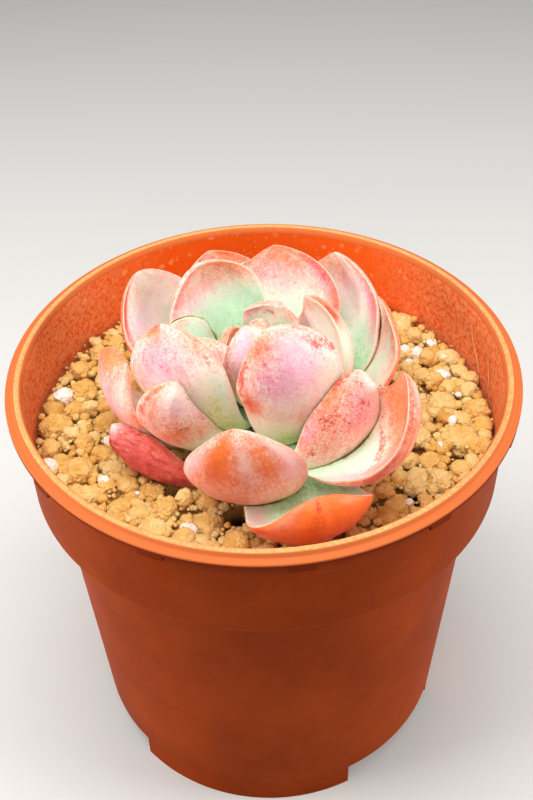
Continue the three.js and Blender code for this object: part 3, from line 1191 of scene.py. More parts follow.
PATCHES: dict[int, tuple[Patch, ...]] = {
    3: on_inner(
        (Mark.AMBER, 0.9, 0.2, 0.2, 0.6, 0.6),
    ),
    4: on_inner(
        (Mark.RED, 0.85, 0.26, 0.06, 0.2, 0.8), (Mark.ROSE, 0.74, 0.9, 0.2, 0.2, 0.6),
        (Mark.PALE, 0.95, 0, 0.06, 0.5, 0.5), (Mark.GREEN, 0.5, 0.5, 0.2, 0.4, 0.25),
    ),
    5: on_outer(
        (Mark.LILAC, 0.85, -0.3, 0.2, 0.4, 0.8), (Mark.RED, 0.8, -0.85, 0.15, 0.1, 0.5),
        (Mark.PALE, 0.85, 0.4, 0.2, 0.3, 0.5),
    ),
    6: on_outer(
        (Mark.AMBER, 0.96, -0.5, 0.05, 0.5, 0.6), (Mark.ROSE, 0.9, 0, 0.1, 0.4, 0.3),
    ),
    7: on_inner(
        # The broad pale patch at 0.75 is painted light over the shaded inner bowl.
        (Mark.PALE, 0.75, 0.1, 0.25, 1, 0.6), (Mark.AMBER, 0.95, 0.1, 0.05, 0.6, 0.6),
        (Mark.LILAC, 0.82, 0.44, 0.12, 0.3, 0.5),
    ) + on_outer(
        (Mark.RED, 0.86, -0.97, 0.06, 0.3, 0.8), (Mark.AMBER, 0.93, -0.6, 0.06, 0.4, 0.6),
        (Mark.FLAME, 0.88, -0.8, 0.08, 0.4, 0.25), (Mark.MINT, 0.7, -0.95, 0.14, 0.3, 0.8),
        (Mark.PALE, 0.72, -0.3, 0.14, 0.4, 0.6), (Mark.LILAC, 0.8, -0.2, 0.1, 0.4, 0.5),
    ),
    8: on_inner(
        (Mark.MINT, 0.64, -0.4, 0.2, 0.6, 0.7), (Mark.AMBER, 0.9, -0.6, 0.06, 0.3, 0.3),
        (Mark.PALE, 0.82, 0, 0.1, 0.5, 0.5),
    ),
    9: on_outer(
        (Mark.RED, 0.84, 0.71, 0.05, 0.12, 0.75), (Mark.RED, 0.79, 0.9, 0.05, 0.1, 0.75),
        (Mark.RED, 0.88, -0.32, 0.05, 0.06, 0.55), (Mark.RED, 0.87, -0.87, 0.08, 0.1, 0.9),
        (Mark.RED, 0.73, -0.87, 0.12, 0.06, 0.6), (Mark.ROSE, 0.79, -0.35, 0.09, 0.25, 0.7),
        (Mark.ROSE, 0.82, 0.05, 0.08, 0.25, 0.35), (Mark.LILAC, 0.84, 0.3, 0.12, 0.4, 0.75),
        (Mark.LILAC, 0.75, -0.1, 0.08, 0.4, 0.5), (Mark.FLECK, 0.78, -0.55, 0.1, 0.25, 0.9),
        (Mark.FLAME, 0.68, -0.75, 0.08, 0.15, 0.3), (Mark.PALE, 0.66, -0.1, 0.07, 0.4, 0.4),
        (Mark.GREEN, 0.68, 0.6, 0.12, 0.25, 0.16), (Mark.GREEN, 0.4, -0.1, 0.1, 0.8, 0.22),
        (Mark.AMBER, 0.98, 0.2, 0.03, 0.5, 0.45), (Mark.FLAME, 0.95, -0.3, 0.05, 0.5, 0.2),
    ),
    10: on_inner(
        (Mark.PALE, 0.9, 0.3, 0.08, 0.4, 0.4), (Mark.RED, 0.87, -0.05, 0.05, 0.15, 0.45),
        (Mark.ROSE, 0.85, 0.9, 0.2, 0.2, 0.5), (Mark.AMBER, 0.84, -0.83, 0.14, 0.25, 0.5),
        (Mark.MINT, 0.5, -0.2, 0.18, 0.7, 0.8), (Mark.MINT, 0.56, -0.8, 0.12, 0.25, 0.6),
        (Mark.LILAC, 0.72, 0.4, 0.1, 0.5, 0.5), (Mark.AMBER, 0.95, 0, 0.04, 0.6, 0.35),
        (Mark.FLAME, 0.8, 0, 0.06, 0.5, 0.12),
    ),
    12: on_outer(
        (Mark.LILAC, 0.8, -0.1, 0.12, 0.5, 0.6), (Mark.ROSE, 0.86, -0.2, 0.08, 0.5, 0.35),
        (Mark.RED, 0.88, 0.02, 0.025, 0.1, 0.45), (Mark.RED, 0.83, -0.44, 0.025, 0.1, 0.45),
        (Mark.AMBER, 0.94, -0.3, 0.04, 0.3, 0.5), (Mark.AMBER, 0.86, 0.71, 0.06, 0.12, 0.5),
        (Mark.RED, 0.76, 0.78, 0.08, 0.07, 0.5), (Mark.GREEN, 0.62, 0.55, 0.16, 0.3, 0.22),
        (Mark.MINT, 0.6, 0.8, 0.12, 0.14, 0.6), (Mark.GREEN, 0.42, 0.6, 0.16, 0.5, 0.25),
        (Mark.FLAME, 0.97, -0.4, 0.04, 0.3, 0.3), (Mark.FLECK, 0.84, 0, 0.1, 0.7, 0.4),
    ),
    13: on_inner(
        (Mark.AMBER, 0.94, 0, 0.06, 0.5, 0.5), (Mark.ROSE, 0.86, 0.3, 0.1, 0.5, 0.35),
        (Mark.RED, 0.79, -0.9, 0.08, 0.12, 0.6), (Mark.ROSE, 0.76, -0.8, 0.12, 0.16, 0.5),
        (Mark.FLAME, 0.64, -0.92, 0.16, 0.12, 0.3), (Mark.LILAC, 0.76, -0.1, 0.12, 0.6, 0.3),
        (Mark.MINT, 0.6, 0, 0.18, 0.6, 0.85), (Mark.AMBER, 0.88, -0.5, 0.06, 0.3, 0.3),
        (Mark.FLECK, 0.8, 0, 0.15, 0.8, 0.4),
    ),
    14: on_outer(
        (Mark.RED, 0.95, -0.83, 0.05, 0.3, 0.75), (Mark.AMBER, 0.89, -0.75, 0.08, 0.25, 0.7),
        (Mark.FLECK, 0.9, 0.07, 0.1, 0.4, 1), (Mark.PALE, 0.95, 0.5, 0.08, 0.3, 0.5),
        (Mark.ROSE, 0.85, 0, 0.1, 0.3, 0.35), (Mark.RED, 0.78, -0.62, 0.06, 0.2, 0.65),
        (Mark.FLECK, 0.8, -0.3, 0.14, 0.4, 1), (Mark.ROSE, 0.68, -0.87, 0.08, 0.12, 0.7),
        (Mark.RED, 0.59, -0.7, 0.04, 0.1, 0.7), (Mark.PALE, 0.76, 0.4, 0.12, 0.3, 0.45),
        (Mark.GREEN, 0.45, 0, 0.12, 0.8, 0.15), (Mark.LILAC, 0.84, 0.2, 0.1, 0.3, 0.4),
        (Mark.RED, 0.87, 0.1, 0.03, 0.1, 0.5),
    ),
    15: on_inner(
        (Mark.AMBER, 0.95, 0.1, 0.08, 0.5, 0.6), (Mark.FLAME, 0.86, -0.2, 0.1, 0.2, 0.2),
        (Mark.ROSE, 0.8, -0.75, 0.12, 0.2, 0.55), (Mark.FLAME, 0.7, -0.9, 0.16, 0.12, 0.4),
        (Mark.ROSE, 0.66, -0.85, 0.12, 0.14, 0.45), (Mark.MINT, 0.5, -0.4, 0.18, 0.4, 0.85),
        # The pale patch at 0.7 is painted light on the shaded inner face.
        (Mark.PALE, 0.7, -0.4, 0.2, 0.25, 0.65), (Mark.LILAC, 0.8, -0.3, 0.12, 0.3, 0.3),
        (Mark.AMBER, 0.85, 0.5, 0.1, 0.3, 0.4),
    ),
    16: on_inner(
        (Mark.PALE, 0.82, -0.6, 0.12, 0.4, 0.7), (Mark.FLAME, 0.86, 0.93, 0.16, 0.1, 0.45),
        (Mark.ROSE, 0.97, 0.2, 0.04, 0.4, 0.4), (Mark.LILAC, 0.74, 0.4, 0.14, 0.5, 0.7),
        (Mark.AMBER, 0.9, 0.3, 0.05, 0.3, 0.3),
    ) + on_outer(
        (Mark.FLAME, 0.8, 0.9, 0.2, 0.3, 0.2),
    ),
    17: on_outer(
        (Mark.AMBER, 0.94, -0.9, 0.05, 0.2, 0.8), (Mark.RED, 0.85, -0.8, 0.1, 0.12, 0.65),
        (Mark.AMBER, 0.87, -0.56, 0.04, 0.15, 0.6), (Mark.PALE, 0.94, 0.1, 0.05, 0.4, 0.6),
        (Mark.BROWN, 0.91, 0.56, 0.025, 0.06, 0.7), (Mark.ROSE, 0.8, 0.71, 0.07, 0.2, 0.5),
        (Mark.BROWN, 0.72, 0.2, 0.03, 0.1, 0.6), (Mark.FLAME, 0.66, 0, 0.1, 0.5, 0.2),
        (Mark.GREEN, 0.48, 0.2, 0.1, 0.8, 0.2), (Mark.LILAC, 0.86, 0.1, 0.06, 0.4, 0.5),
        (Mark.FLECK, 0.8, 0, 0.12, 0.6, 0.6),
    ),
    18: on_outer(
        (Mark.AMBER, 0.9, -0.35, 0.1, 0.3, 0.9), (Mark.FLAME, 0.88, -0.35, 0.12, 0.25, 0.24),
        (Mark.PALE, 0.86, 0.14, 0.08, 0.12, 0.5), (Mark.AMBER, 0.86, 0.5, 0.1, 0.22, 0.8),
        (Mark.FLAME, 0.82, 0.45, 0.1, 0.2, 0.16), (Mark.PALE, 0.84, 0.85, 0.1, 0.12, 0.7),
        (Mark.LILAC, 0.76, 0.75, 0.1, 0.2, 0.5), (Mark.LILAC, 0.84, -0.8, 0.1, 0.15, 0.4),
        (Mark.PALE, 0.76, -0.9, 0.12, 0.08, 0.6), (Mark.AMBER, 0.72, 0, 0.1, 0.6, 0.4),
        (Mark.AMBER, 0.6, 0, 0.08, 1, 0.35),
    ),
    19: on_inner(
        (Mark.AMBER, 0.95, -0.5, 0.06, 0.4, 0.5), (Mark.ROSE, 0.9, 0.5, 0.1, 0.4, 0.4),
        (Mark.PALE, 0.85, 0.2, 0.06, 0.4, 0.3),
    ),
    20: on_inner(
        (Mark.AMBER, 0.97, 0.5, 0.05, 0.4, 0.7),
    ) + on_outer(
        (Mark.AMBER, 0.93, -0.5, 0.1, 0.5, 0.8), (Mark.FLAME, 0.92, -0.6, 0.1, 0.4, 0.15),
        (Mark.PALE, 0.86, 0.5, 0.1, 0.3, 0.4), (Mark.LILAC, 0.74, 0, 0.14, 0.6, 0.55),
        (Mark.ROSE, 0.66, 0.1, 0.08, 0.2, 0.5), (Mark.FLECK, 0.68, 0.1, 0.08, 0.25, 0.8),
    ),
    21: on_inner(
        # The thin red line at 0.66 is painted shadow in the groove beside a fold that the shape lacks, and
        # the thin pale line at 0.625 is a painted highlight on that fold's margin.
        (Mark.RED, 0.66, -0.2, 0.022, 0.5, 0.8), (Mark.PALE, 0.625, -0.1, 0.02, 0.6, 0.5),
        (Mark.FLAME, 0.85, -0.2, 0.16, 0.9, 0.2), (Mark.AMBER, 0.8, 0, 0.16, 0.9, 0.4),
        (Mark.ROSE, 0.72, -0.75, 0.08, 0.15, 0.5), (Mark.AMBER, 0.88, 0.38, 0.08, 0.3, 0.5),
        (Mark.AMBER, 0.98, 0.2, 0.03, 0.5, 0.7), (Mark.MINT, 0.45, 0, 0.14, 1, 0.9),
        (Mark.LILAC, 0.56, -0.9, 0.1, 0.25, 0.5), (Mark.FLECK, 0.75, 0, 0.15, 0.6, 0.6),
    ) + on_outer(
        (Mark.RED, 0.9, -0.92, 0.05, 0.12, 0.6), (Mark.PALE, 0.95, -0.56, 0.04, 0.2, 0.5),
    ),
    22: on_inner(
        (Mark.BROWN, 0.88, -0.6, 0.08, 0.15, 0.5), (Mark.AMBER, 0.82, -0.95, 0.14, 0.12, 0.7),
        (Mark.AMBER, 0.88, -0.5, 0.08, 0.3, 0.3),
    ) + on_outer(
        (Mark.AMBER, 0.85, -0.9, 0.15, 0.3, 0.5),
    ),
    23: on_inner(
        (Mark.PALE, 0.6, 0.3, 0.12, 0.4, 0.5), (Mark.ROSE, 0.6, -0.8, 0.15, 0.2, 0.5),
    ) + on_outer(
        (Mark.AMBER, 0.85, 0, 0.22, 2, 0.95), (Mark.FLAME, 0.85, 0, 0.2, 1, 0.16),
        (Mark.RED, 0.97, -0.04, 0.03, 0.06, 0.9), (Mark.FLAME, 0.88, -0.05, 0.08, 0.2, 0.2),
        (Mark.PALE, 0.91, -0.7, 0.06, 0.2, 0.6), (Mark.RED, 0.84, -0.9, 0.06, 0.15, 0.5),
    ),
    24: on_inner(
        (Mark.ROSE, 0.7, 0, 0.5, 1.2, 0.4), (Mark.RED, 0.6, 0.1, 0.25, 0.5, 0.5),
        (Mark.PALE, 1, 0, 0.04, 1, 0.9),
    ) + on_outer(
        (Mark.ROSE, 0.7, 0, 0.5, 1.2, 0.35), (Mark.RED, 0.6, 0.1, 0.2, 0.5, 0.5),
        (Mark.PALE, 1, 0, 0.04, 1, 0.9),
    ),
}
LEAF_LAYERS = ("along", "across", "inner", *(mark.value for mark in Mark if mark is not Mark.GREEN))

LEAVES = (
    Leaf(
        1, az=250, rise=84, start=1, el0=65, el1=110, length=8, width=5, thick=2,
        inner=(0.3, 0.6), outer=(0.4, 0.6),
    ),
    Leaf(
        2, az=40, rise=84, start=1, el0=65, el1=110, length=9, width=6, thick=2,
        inner=(0.3, 0.6), outer=(0.4, 0.6),
    ),
    Leaf(
        3, az=150, rise=83, start=1.5, el0=48, el1=110, length=8.5, width=6.5, thick=2.4,
        inner=(0.2, 0.75), outer=(0.3, 0.7),
    ),
    Leaf(
        4, az=61, rise=82, start=1.5, el0=28, el1=130, length=14.5, width=12.5, thick=3, lean=-12,
        inner=(0.35, 0.52), outer=(0.4, 0.6),
    ),
    Leaf(
        5, az=-78, rise=80, start=2, el0=30, el1=135, bend=1.2, length=24.5, width=12, lean=-15,
        inner=(0.3, 0.5), outer=(0.45, 0.62),
    ),
    Leaf(
        6, az=-137, rise=81, start=2, el0=30, el1=110, bend=1, length=15.5, width=16, roll=12,
        inner=(0.2, 0.4), outer=(0.35, 0.55),
    ),
    Leaf(
        7, az=0, rise=78.5, start=2, el0=9, el1=138, bend=1.2, length=26.5, width=21, roll=43, lean=27,
        inner=(0.3, 0.58), outer=(0.4, 0.6),
    ),
    Leaf(
        8, az=166, rise=79, start=2, el0=23, el1=90, bend=1.8, length=19.5, width=16, roll=-6, lean=6,
        inner=(0.3, 0.42), outer=(0.35, 0.5),
    ),
    Leaf(
        9, az=-59, rise=76.5, el0=0, el1=121, bend=0.7, length=37, width=18.5, widest=0.7, roll=-28, lean=-20,
        inner=(0.2, 0.5), outer=(0.22, 0.56),
    ),
    Leaf(
        10, az=118, rise=79, el0=20, el1=120, bend=1.3, length=27, width=20.5, widest=0.6, roll=9, lean=14,
        point=0.8, inner=(0.14, 0.66), outer=(0.3, 0.6),
    ),
    Leaf(
        11, az=-24, rise=79, el0=15, el1=115, length=18.5, width=15,
        inner=(0.1, 0.35), outer=(0.1, 0.35),
    ),
    Leaf(
        12, az=-123, rise=77.5, el0=26, el1=150, bend=1.6, length=33, width=16.5, roll=25, lean=-33,
        inner=(0.2, 0.5), outer=(0.28, 0.6),
    ),
    Leaf(
        13, az=69, rise=78, el0=16, el1=80, length=28.5, width=25, widest=0.6, roll=4, lean=20, point=0.8,
        inner=(0.26, 0.72), outer=(0.3, 0.6),
    ),
    Leaf(
        14, az=-56, rise=73, el0=-4, el1=131, bend=1.1, length=36, width=15, roll=-16, lean=22,
        inner=(0.2, 0.5), outer=(0.28, 0.62),
    ),
    Leaf(
        15, az=43, rise=77, el0=4, el1=94, bend=1.8, length=33.5, width=29, widest=0.6, cup=100, lean=26,
        point=0.8, inner=(0.12, 0.5), outer=(0.3, 0.62),
    ),
    Leaf(
        16, az=148, rise=77, el0=10, el1=95, bend=1.4, length=32.5, width=21,
        inner=(0.34, 0.48), outer=(0.4, 0.62),
    ),
    Leaf(
        17, az=-137, rise=75, el0=13, el1=115, length=30, width=13.5, roll=60, lean=4,
        inner=(0.3, 0.5), outer=(0.36, 0.56),
    ),
    Leaf(
        18, az=-93, rise=72.5, el0=-8, el1=111, bend=1.1, length=39, width=21, lean=-8,
        inner=(0.2, 0.5), outer=(0.42, 0.64),
    ),
    Leaf(
        19, az=102, rise=76.5, el0=10, el1=88, bend=1.6, length=31, width=22.5, widest=0.6, roll=3, lean=12,
        point=0.8, inner=(0.35, 0.7), outer=(0.4, 0.65),
    ),
    Leaf(
        20, az=-175, rise=75, start=5, el0=-9, el1=129, bend=1.4, length=33, width=18, cup=20, roll=28,
        lean=13, inner=(0.48, 0.64), outer=(0.5, 0.66),
    ),
    Leaf(
        21, az=-47, rise=77, el0=10, el1=127, bend=2.9, length=42, width=21.5, cup=120, roll=68, lean=18,
        inner=(0.3, 0.68), outer=(0.45, 0.7),
    ),
    Leaf(
        22, az=12, rise=76, el0=0, el1=100, bend=1.6, length=31.5, width=22, roll=12, lean=32,
        inner=(0.25, 0.55), outer=(0.45, 0.7),
    ),
    Leaf(
        23, az=-73, rise=75, el0=-3, el1=142, bend=3.7, length=39, width=22, widest=0.75, lean=-3, point=0.5,
        inner=(0.08, 0.5), outer=(0.6, 0.8),
    ),
    Leaf(
        24, az=-130, rise=69, el0=-3, el1=114, bend=1.3, length=31.5, width=9.5, cup=85, roll=23, lean=-53,
        inner=(0.74, 0.84), outer=(0.74, 0.84), wrinkle=0.8,
    ),
    Leaf(
        25, az=75, rise=75, el0=0, el1=70, length=27, width=18,
        inner=(0.2, 0.5), outer=(0.3, 0.6),
    ),
)


@dataclass(frozen=True)
class Rosette:
    """The rosette of leaves, each of which gives way to the stem and to the leaves inside it."""

    stem: Stem
    leaves: tuple[Leaf, ...] = LEAVES
    gap: float = 0.25
    rounds: int = 96
    alongs: int = 72
    cutter_rounds: int = 40
    cutter_alongs: int = 32

    def build(self) -> bvhtree.BVHTree:
        """Make every leaf's piece.

        Returns:
            A search tree of all the leaves' faces, for what has to keep clear of them.
        """
        material = LeafFinish().material()
        cutters = [self.stem.mesh(self.gap)]
        spans = [span(cutters[0])]
        for leaf in self.leaves:
            made = leaf.mesh(self.stem, self.rounds, self.alongs)
            box = span(made)
            near = [c for c, s in zip(cutters, spans) if spans_meet(box, s)]
            made = combine(made, near, "DIFFERENCE")
            keep_largest(made)
            place_piece(f"{leaf.node}_flesh", made, material, [leaf.node], SHARP_LEAF)
            grown = leaf.mesh(self.stem, self.cutter_rounds, self.cutter_alongs, self.gap, False)
            cutters.append(grown)
            spans.append(span(grown))
        whole = bmesh.new()
        for cutter in cutters[1:]:
            data = bpy.data.meshes.new("leaf_search")
            cutter.to_mesh(data)
            whole.from_mesh(data)
            bpy.data.meshes.remove(data)
            cutter.free()
        cutters[0].free()
        tree = bvhtree.BVHTree.FromBMesh(whole)
        whole.free()
        return tree


@dataclass(frozen=True)
class Pot:
    """The thin-walled nursery pot. Radii are of the outer surface and heights above the ground.

    paint_depth is how far into the wall the inner face's colour reaches, and sunk how far feet and lugs do.
    """

    height: float = 86.0
    rim_radius: float = 45.0
    bead_inner: float = 42.0
    bead_outer: float = 43.8
    flange_drop: float = 0.9
    flange_thick: float = 1.1
    band_top: float = 43.0
    band_foot: float = 42.7
    band_foot_height: float = 66.0
    shoulder_drop: float = 1.4
    body_top: float = 38.9
    body_foot: float = 35.3
    wall: float = 0.9
    foot_radius: float = 35.0
    foot_height: float = 5.4
    foot_wall: float = 1.6
    floor_thick: float = 1.4
    feet: int = 3
    foot_span: float = 73.0
    first_foot: float = -101.0
    lugs: int = 12
    lug_span: float = 5.4
    lug_reach: float = 1.9
    lug_height: float = 1.2
    first_lug: float = 6.5
    drain_radius: float = 3.6
    drain_circle: float = 24.0
    drains: int = 6
    drill_depth: float = 12.0
    chamfer: float = 0.4
    paint_depth: float = 0.4
    warp: float = 0.12
    warp_heights: tuple[float, float] = (30.0, 80.0)
    sunk: float = 0.2
    steps: int = 240
    rounding: float = 0.28

    @property
    def edge(self) -> float:
        """The height of the flange's upper face."""
        return self.height - self.flange_drop

    @property
    def floor(self) -> float:
        """The height of the floor's upper face."""
        return self.foot_height + self.floor_thick

    @property
    def shoulder(self) -> float:
        """The height where the body meets the shoulder."""
        return self.band_foot_height - self.shoulder_drop

    def inside_radius(self, height: float) -> float:
        """Find the inner wall's radius at a height.

        Args:
            height: The height, in millimetres.

        Returns:
            The radius, in millimetres.
        """
        if height > self.band_foot_height + self.wall:
            t = (height - self.band_foot_height) / (self.edge - self.band_foot_height)
            return blend(self.band_foot - self.wall, self.bead_inner, t)
        t = (height - self.floor) / (self.shoulder + self.wall - self.floor)
        return blend(self.body_foot, self.body_top, min(1.0, t)) - self.wall

    def outline(self) -> list[tuple[float, float]]:
        """List the corners of the wall's section, from the foot's middle round to the floor's middle.

        Returns:
            The radius and height of each corner, in millimetres.
        """
        under = self.edge - self.flange_thick
        return [
            (0, self.foot_height), (self.foot_radius, self.foot_height),
            (self.body_foot, self.foot_height + 0.5), (self.body_top, self.shoulder),
            (self.band_foot, self.band_foot_height), (self.band_top, under),
            (self.rim_radius, under), (self.rim_radius, self.edge), (self.bead_outer, self.edge),
            (self.bead_outer - self.chamfer, self.height), (self.bead_inner + self.chamfer, self.height),
            (self.bead_inner, self.edge), (self.band_foot - self.wall, self.band_foot_height + self.wall),
            (self.body_top - self.wall, self.shoulder + self.wall),
            (self.body_foot - self.wall, self.floor), (0, self.floor),
        ]

    def sector(self, inner: float, outer: float, low: float, high: float,
               middle: float, degrees: float) -> bmesh.types.BMesh:
        """Spin an upright rectangle part of the way round.

        Args:
            inner: Its inner radius.
            outer: Its outer radius.
            low: The height of its underside.
            high: The height of its top.
            middle: The bearing of its middle, in degrees.
            degrees: How far round it reaches.

        Returns:
            The closed mesh.
        """
        made = bmesh.new()
        corners = [(inner, low), (outer, low), (outer, high), (inner, high)]
        end = made.faces.new([made.verts.new((r * MM, 0, z * MM)) for r, z in corners])
        steps = max(4, round(degrees * self.steps / 360))
        bmesh.ops.spin(
            made, geom=[end, *end.edges, *end.verts], cent=(0, 0, 0), axis=(0, 0, 1),
            angle=math.radians(degrees), steps=steps, use_duplicate=False,
        )
        bmesh.ops.recalc_face_normals(made, faces=made.faces)
        start = math.radians(middle - degrees / 2)
        bmesh.ops.rotate(made, cent=(0, 0, 0), matrix=Matrix.Rotation(start, 3, "Z"), verts=made.verts)
        return made

    def added(self) -> list[bmesh.types.BMesh]:
        """Make what is joined to the spun wall.

        Returns:
            The feet and the lugs under the flange.
        """
        under = self.edge - self.flange_thick + self.sunk
        feet = [
            self.sector(self.foot_radius - self.foot_wall, self.foot_radius, 0, self.floor - self.sunk,
                        self.first_foot + 360 / self.feet * i, self.foot_span)
            for i in range(self.feet)
        ]
        lugs = [
            self.sector(self.band_top - 2 * self.sunk, self.band_top + self.lug_reach,
                        under - self.lug_height, under, self.first_lug + 360 / self.lugs * i, self.lug_span)
            for i in range(self.lugs)
        ]
        return feet + lugs

    def drilled(self) -> list[bmesh.types.BMesh]:
        """Make what is cut from the floor.

        Returns:
            The cylinders that cut the drain holes.
        """
        drills = []
        for i in range(self.drains):
            angle = math.tau / self.drains * i
            place = Matrix.Translation(Vector((
                self.drain_circle * math.cos(angle), self.drain_circle * math.sin(angle), self.foot_height,
            )) * MM)
            drill = bmesh.new()
            bmesh.ops.create_cone(
                drill, cap_ends=True, segments=32, radius1=self.drain_radius * MM,
                radius2=self.drain_radius * MM, depth=self.drill_depth * MM, matrix=place,
            )
            drills.append(drill)
        return drills

    def build(self) -> bpy.types.Object:
        """Make the pot's piece.

        Returns:
            The piece.
        """
        made = spin_outline(self.outline(), self.steps, self.rounding)
        for extra, operation in ((self.added(), "UNION"), (self.drilled(), "DIFFERENCE")):
            made = combine(made, extra, operation)
            for item in extra:
                item.free()
        within = made.verts.layers.float.new("within")
        crest = made.verts.layers.float.new("crest")
        for vert in made.verts:
            x, y, z = vert.co / MM
            across = math.hypot(x, y)
            deep = self.inside_radius(z) + self.paint_depth if z > self.floor - 0.3 else 0.0
            vert[within] = smooth(0.2, -0.2, across - min(deep, self.bead_outer))
            vert[crest] = float(z > self.height - 0.1 and across < self.bead_outer - 0.2)
            warp = self.warp * noise.noise(Vector((x * 0.03, y * 0.03, z * 0.02)))
            warp *= smooth(*self.warp_heights, z)
            vert.co.x += x / max(across, 1) * warp * MM
            vert.co.y += y / max(across, 1) * warp * MM
        return place_piece("pot_shell", made, PotFinish().material(), ["pot"], SHARP_POT)


@dataclass(frozen=True)
class Lump:
    """One clod or bit on the soil: its centre and radius in millimetres, and its tone from dark to pale."""

    x: float
    y: float
    z: float
    radius: float
    tone: float


class LumpShaper:
    """Makes rounded lumps with soft flat facets in one mesh, and marks how deep they lie.

    The pairs are the least and the most of a random share of the radius. shade_depth is the depth in
    millimetres that counts as 1 in the attribute buried.
    """

    flat_reach: tuple[float, float] = (0.78, 1.0)
    top_reach: tuple[float, float] = (0.72, 0.9)
    level_stretch: tuple[float, float] = (0.92, 1.14)
    upright_stretch: tuple[float, float] = (0.8, 0.95)
    shade_depth: float = 3.0

    def __init__(self, seed: int, surface: float, subdivisions: int, fine_from: float = 0.0) -> None:
        """Start an empty mesh.

        Args:
            seed: What every random draw grows from.
            surface: The height of the open surface, in millimetres.
            subdivisions: How fine each lump's mesh is, 1 being an icosahedron.
            fine_from: The radius below which a lump's mesh is one step coarser.
        """
        self.draw = random.Random(seed)
        self.surface = surface
        self.subdivisions = subdivisions
        self.fine_from = fine_from
        self.mesh, self.coarse, self.fine = bmesh.new(), bmesh.new(), bmesh.new()
        bmesh.ops.create_icosphere(self.coarse, subdivisions=max(1, subdivisions - 1), radius=1.0)
        bmesh.ops.create_icosphere(self.fine, subdivisions=subdivisions, radius=1.0)
        for made in (self.mesh, self.coarse, self.fine):
            made.verts.layers.float.new("tone")
            made.verts.layers.float.new("buried")
        self.carrier = bpy.data.meshes.new("lump_carrier")

    def direction(self) -> Vector:
        """Draw a direction evenly from the whole sphere.

        Returns:
            A vector of length 1.
        """
        z = self.draw.uniform(-1, 1)
        turn = self.draw.uniform(0, math.tau)
        ring = math.sqrt(1 - z * z)
        return Vector((ring * math.cos(turn), ring * math.sin(turn), z))

    def add(self, lump: Lump, facets: int = 11, softness: float = 9.0) -> None:
        """Add one lump.

        Args:
            lump: Its place and size.
            facets: How many flats it is knocked into.
            softness: How hard the edges between them are.
        """
        flats = [(self.direction(), self.draw.uniform(*self.flat_reach)) for _ in range(facets)]
        flats.append((Vector((0, 0, 1)), self.draw.uniform(*self.top_reach)))
        ranges = (self.level_stretch, self.level_stretch, self.upright_stretch)
        squash = Vector([self.draw.uniform(*pair) for pair in ranges])
        shift = self.direction() * 50
        made = (self.coarse if lump.radius < self.fine_from else self.fine).copy()
        tone, buried = made.verts.layers.float["tone"], made.verts.layers.float["buried"]
        for vert in made.verts:
            way = vert.co.normalized()
            pressed = 0.3 + sum(max(0.0, way.dot(n) / h) ** softness for n, h in flats)
            reach = pressed ** (-1 / softness) * (1 + self.roughness(way, shift)) * lump.radius
            out = Vector((way.x * squash.x, way.y * squash.y, way.z * squash.z)) * reach
            vert.co = (Vector((lump.x, lump.y, lump.z)) + out) * MM
            vert[tone] = lump.tone
            vert[buried] = max(0.0, (self.surface - lump.z - out.z) / self.shade_depth)
        made.to_mesh(self.carrier)
        made.free()
        self.mesh.from_mesh(self.carrier)

    def roughness(self, way: Vector, shift: Vector) -> float:
        """Work out how far the skin stands out in a direction.

        Args:
            way: The direction, a vector of length 1.
            shift: The lump's own place in the noise.

        Returns:
            The height of the skin as a share of the radius.
        """
        rough = 0.13 * noise.noise(way * 1.8 + shift) + 0.1 * noise.noise(way * 4.5 + shift)
        if self.subdivisions > 2:
            crack = 1 - min(1.0, abs(noise.noise(way * 2.6 - shift)) / 0.12)
            rough += 0.07 * noise.noise(way * 9 + shift) - 0.09 * crack
        if self.subdivisions > 4:
            rough += 0.045 * noise.noise(way * 19 + shift)
        return rough

    def finish(self) -> bmesh.types.BMesh:
        """Free what was borrowed.

        Returns:
            The mesh of all the lumps.
        """
        self.coarse.free()
        self.fine.free()
        bpy.data.meshes.remove(self.carrier)
        return self.mesh


@dataclass(frozen=True)
class GritLayer:
    """One size of scattered grit.

    tries is how many lumps are dropped, least and most their radii, drop how far their tops lie below those
    of the clods, crowd how close two may lie as a share of their radii, and subdivisions how fine a lump is.
    """

    name: str
    tries: int
    least: float
    most: float
    drop: float
    crowd: float
    subdivisions: int


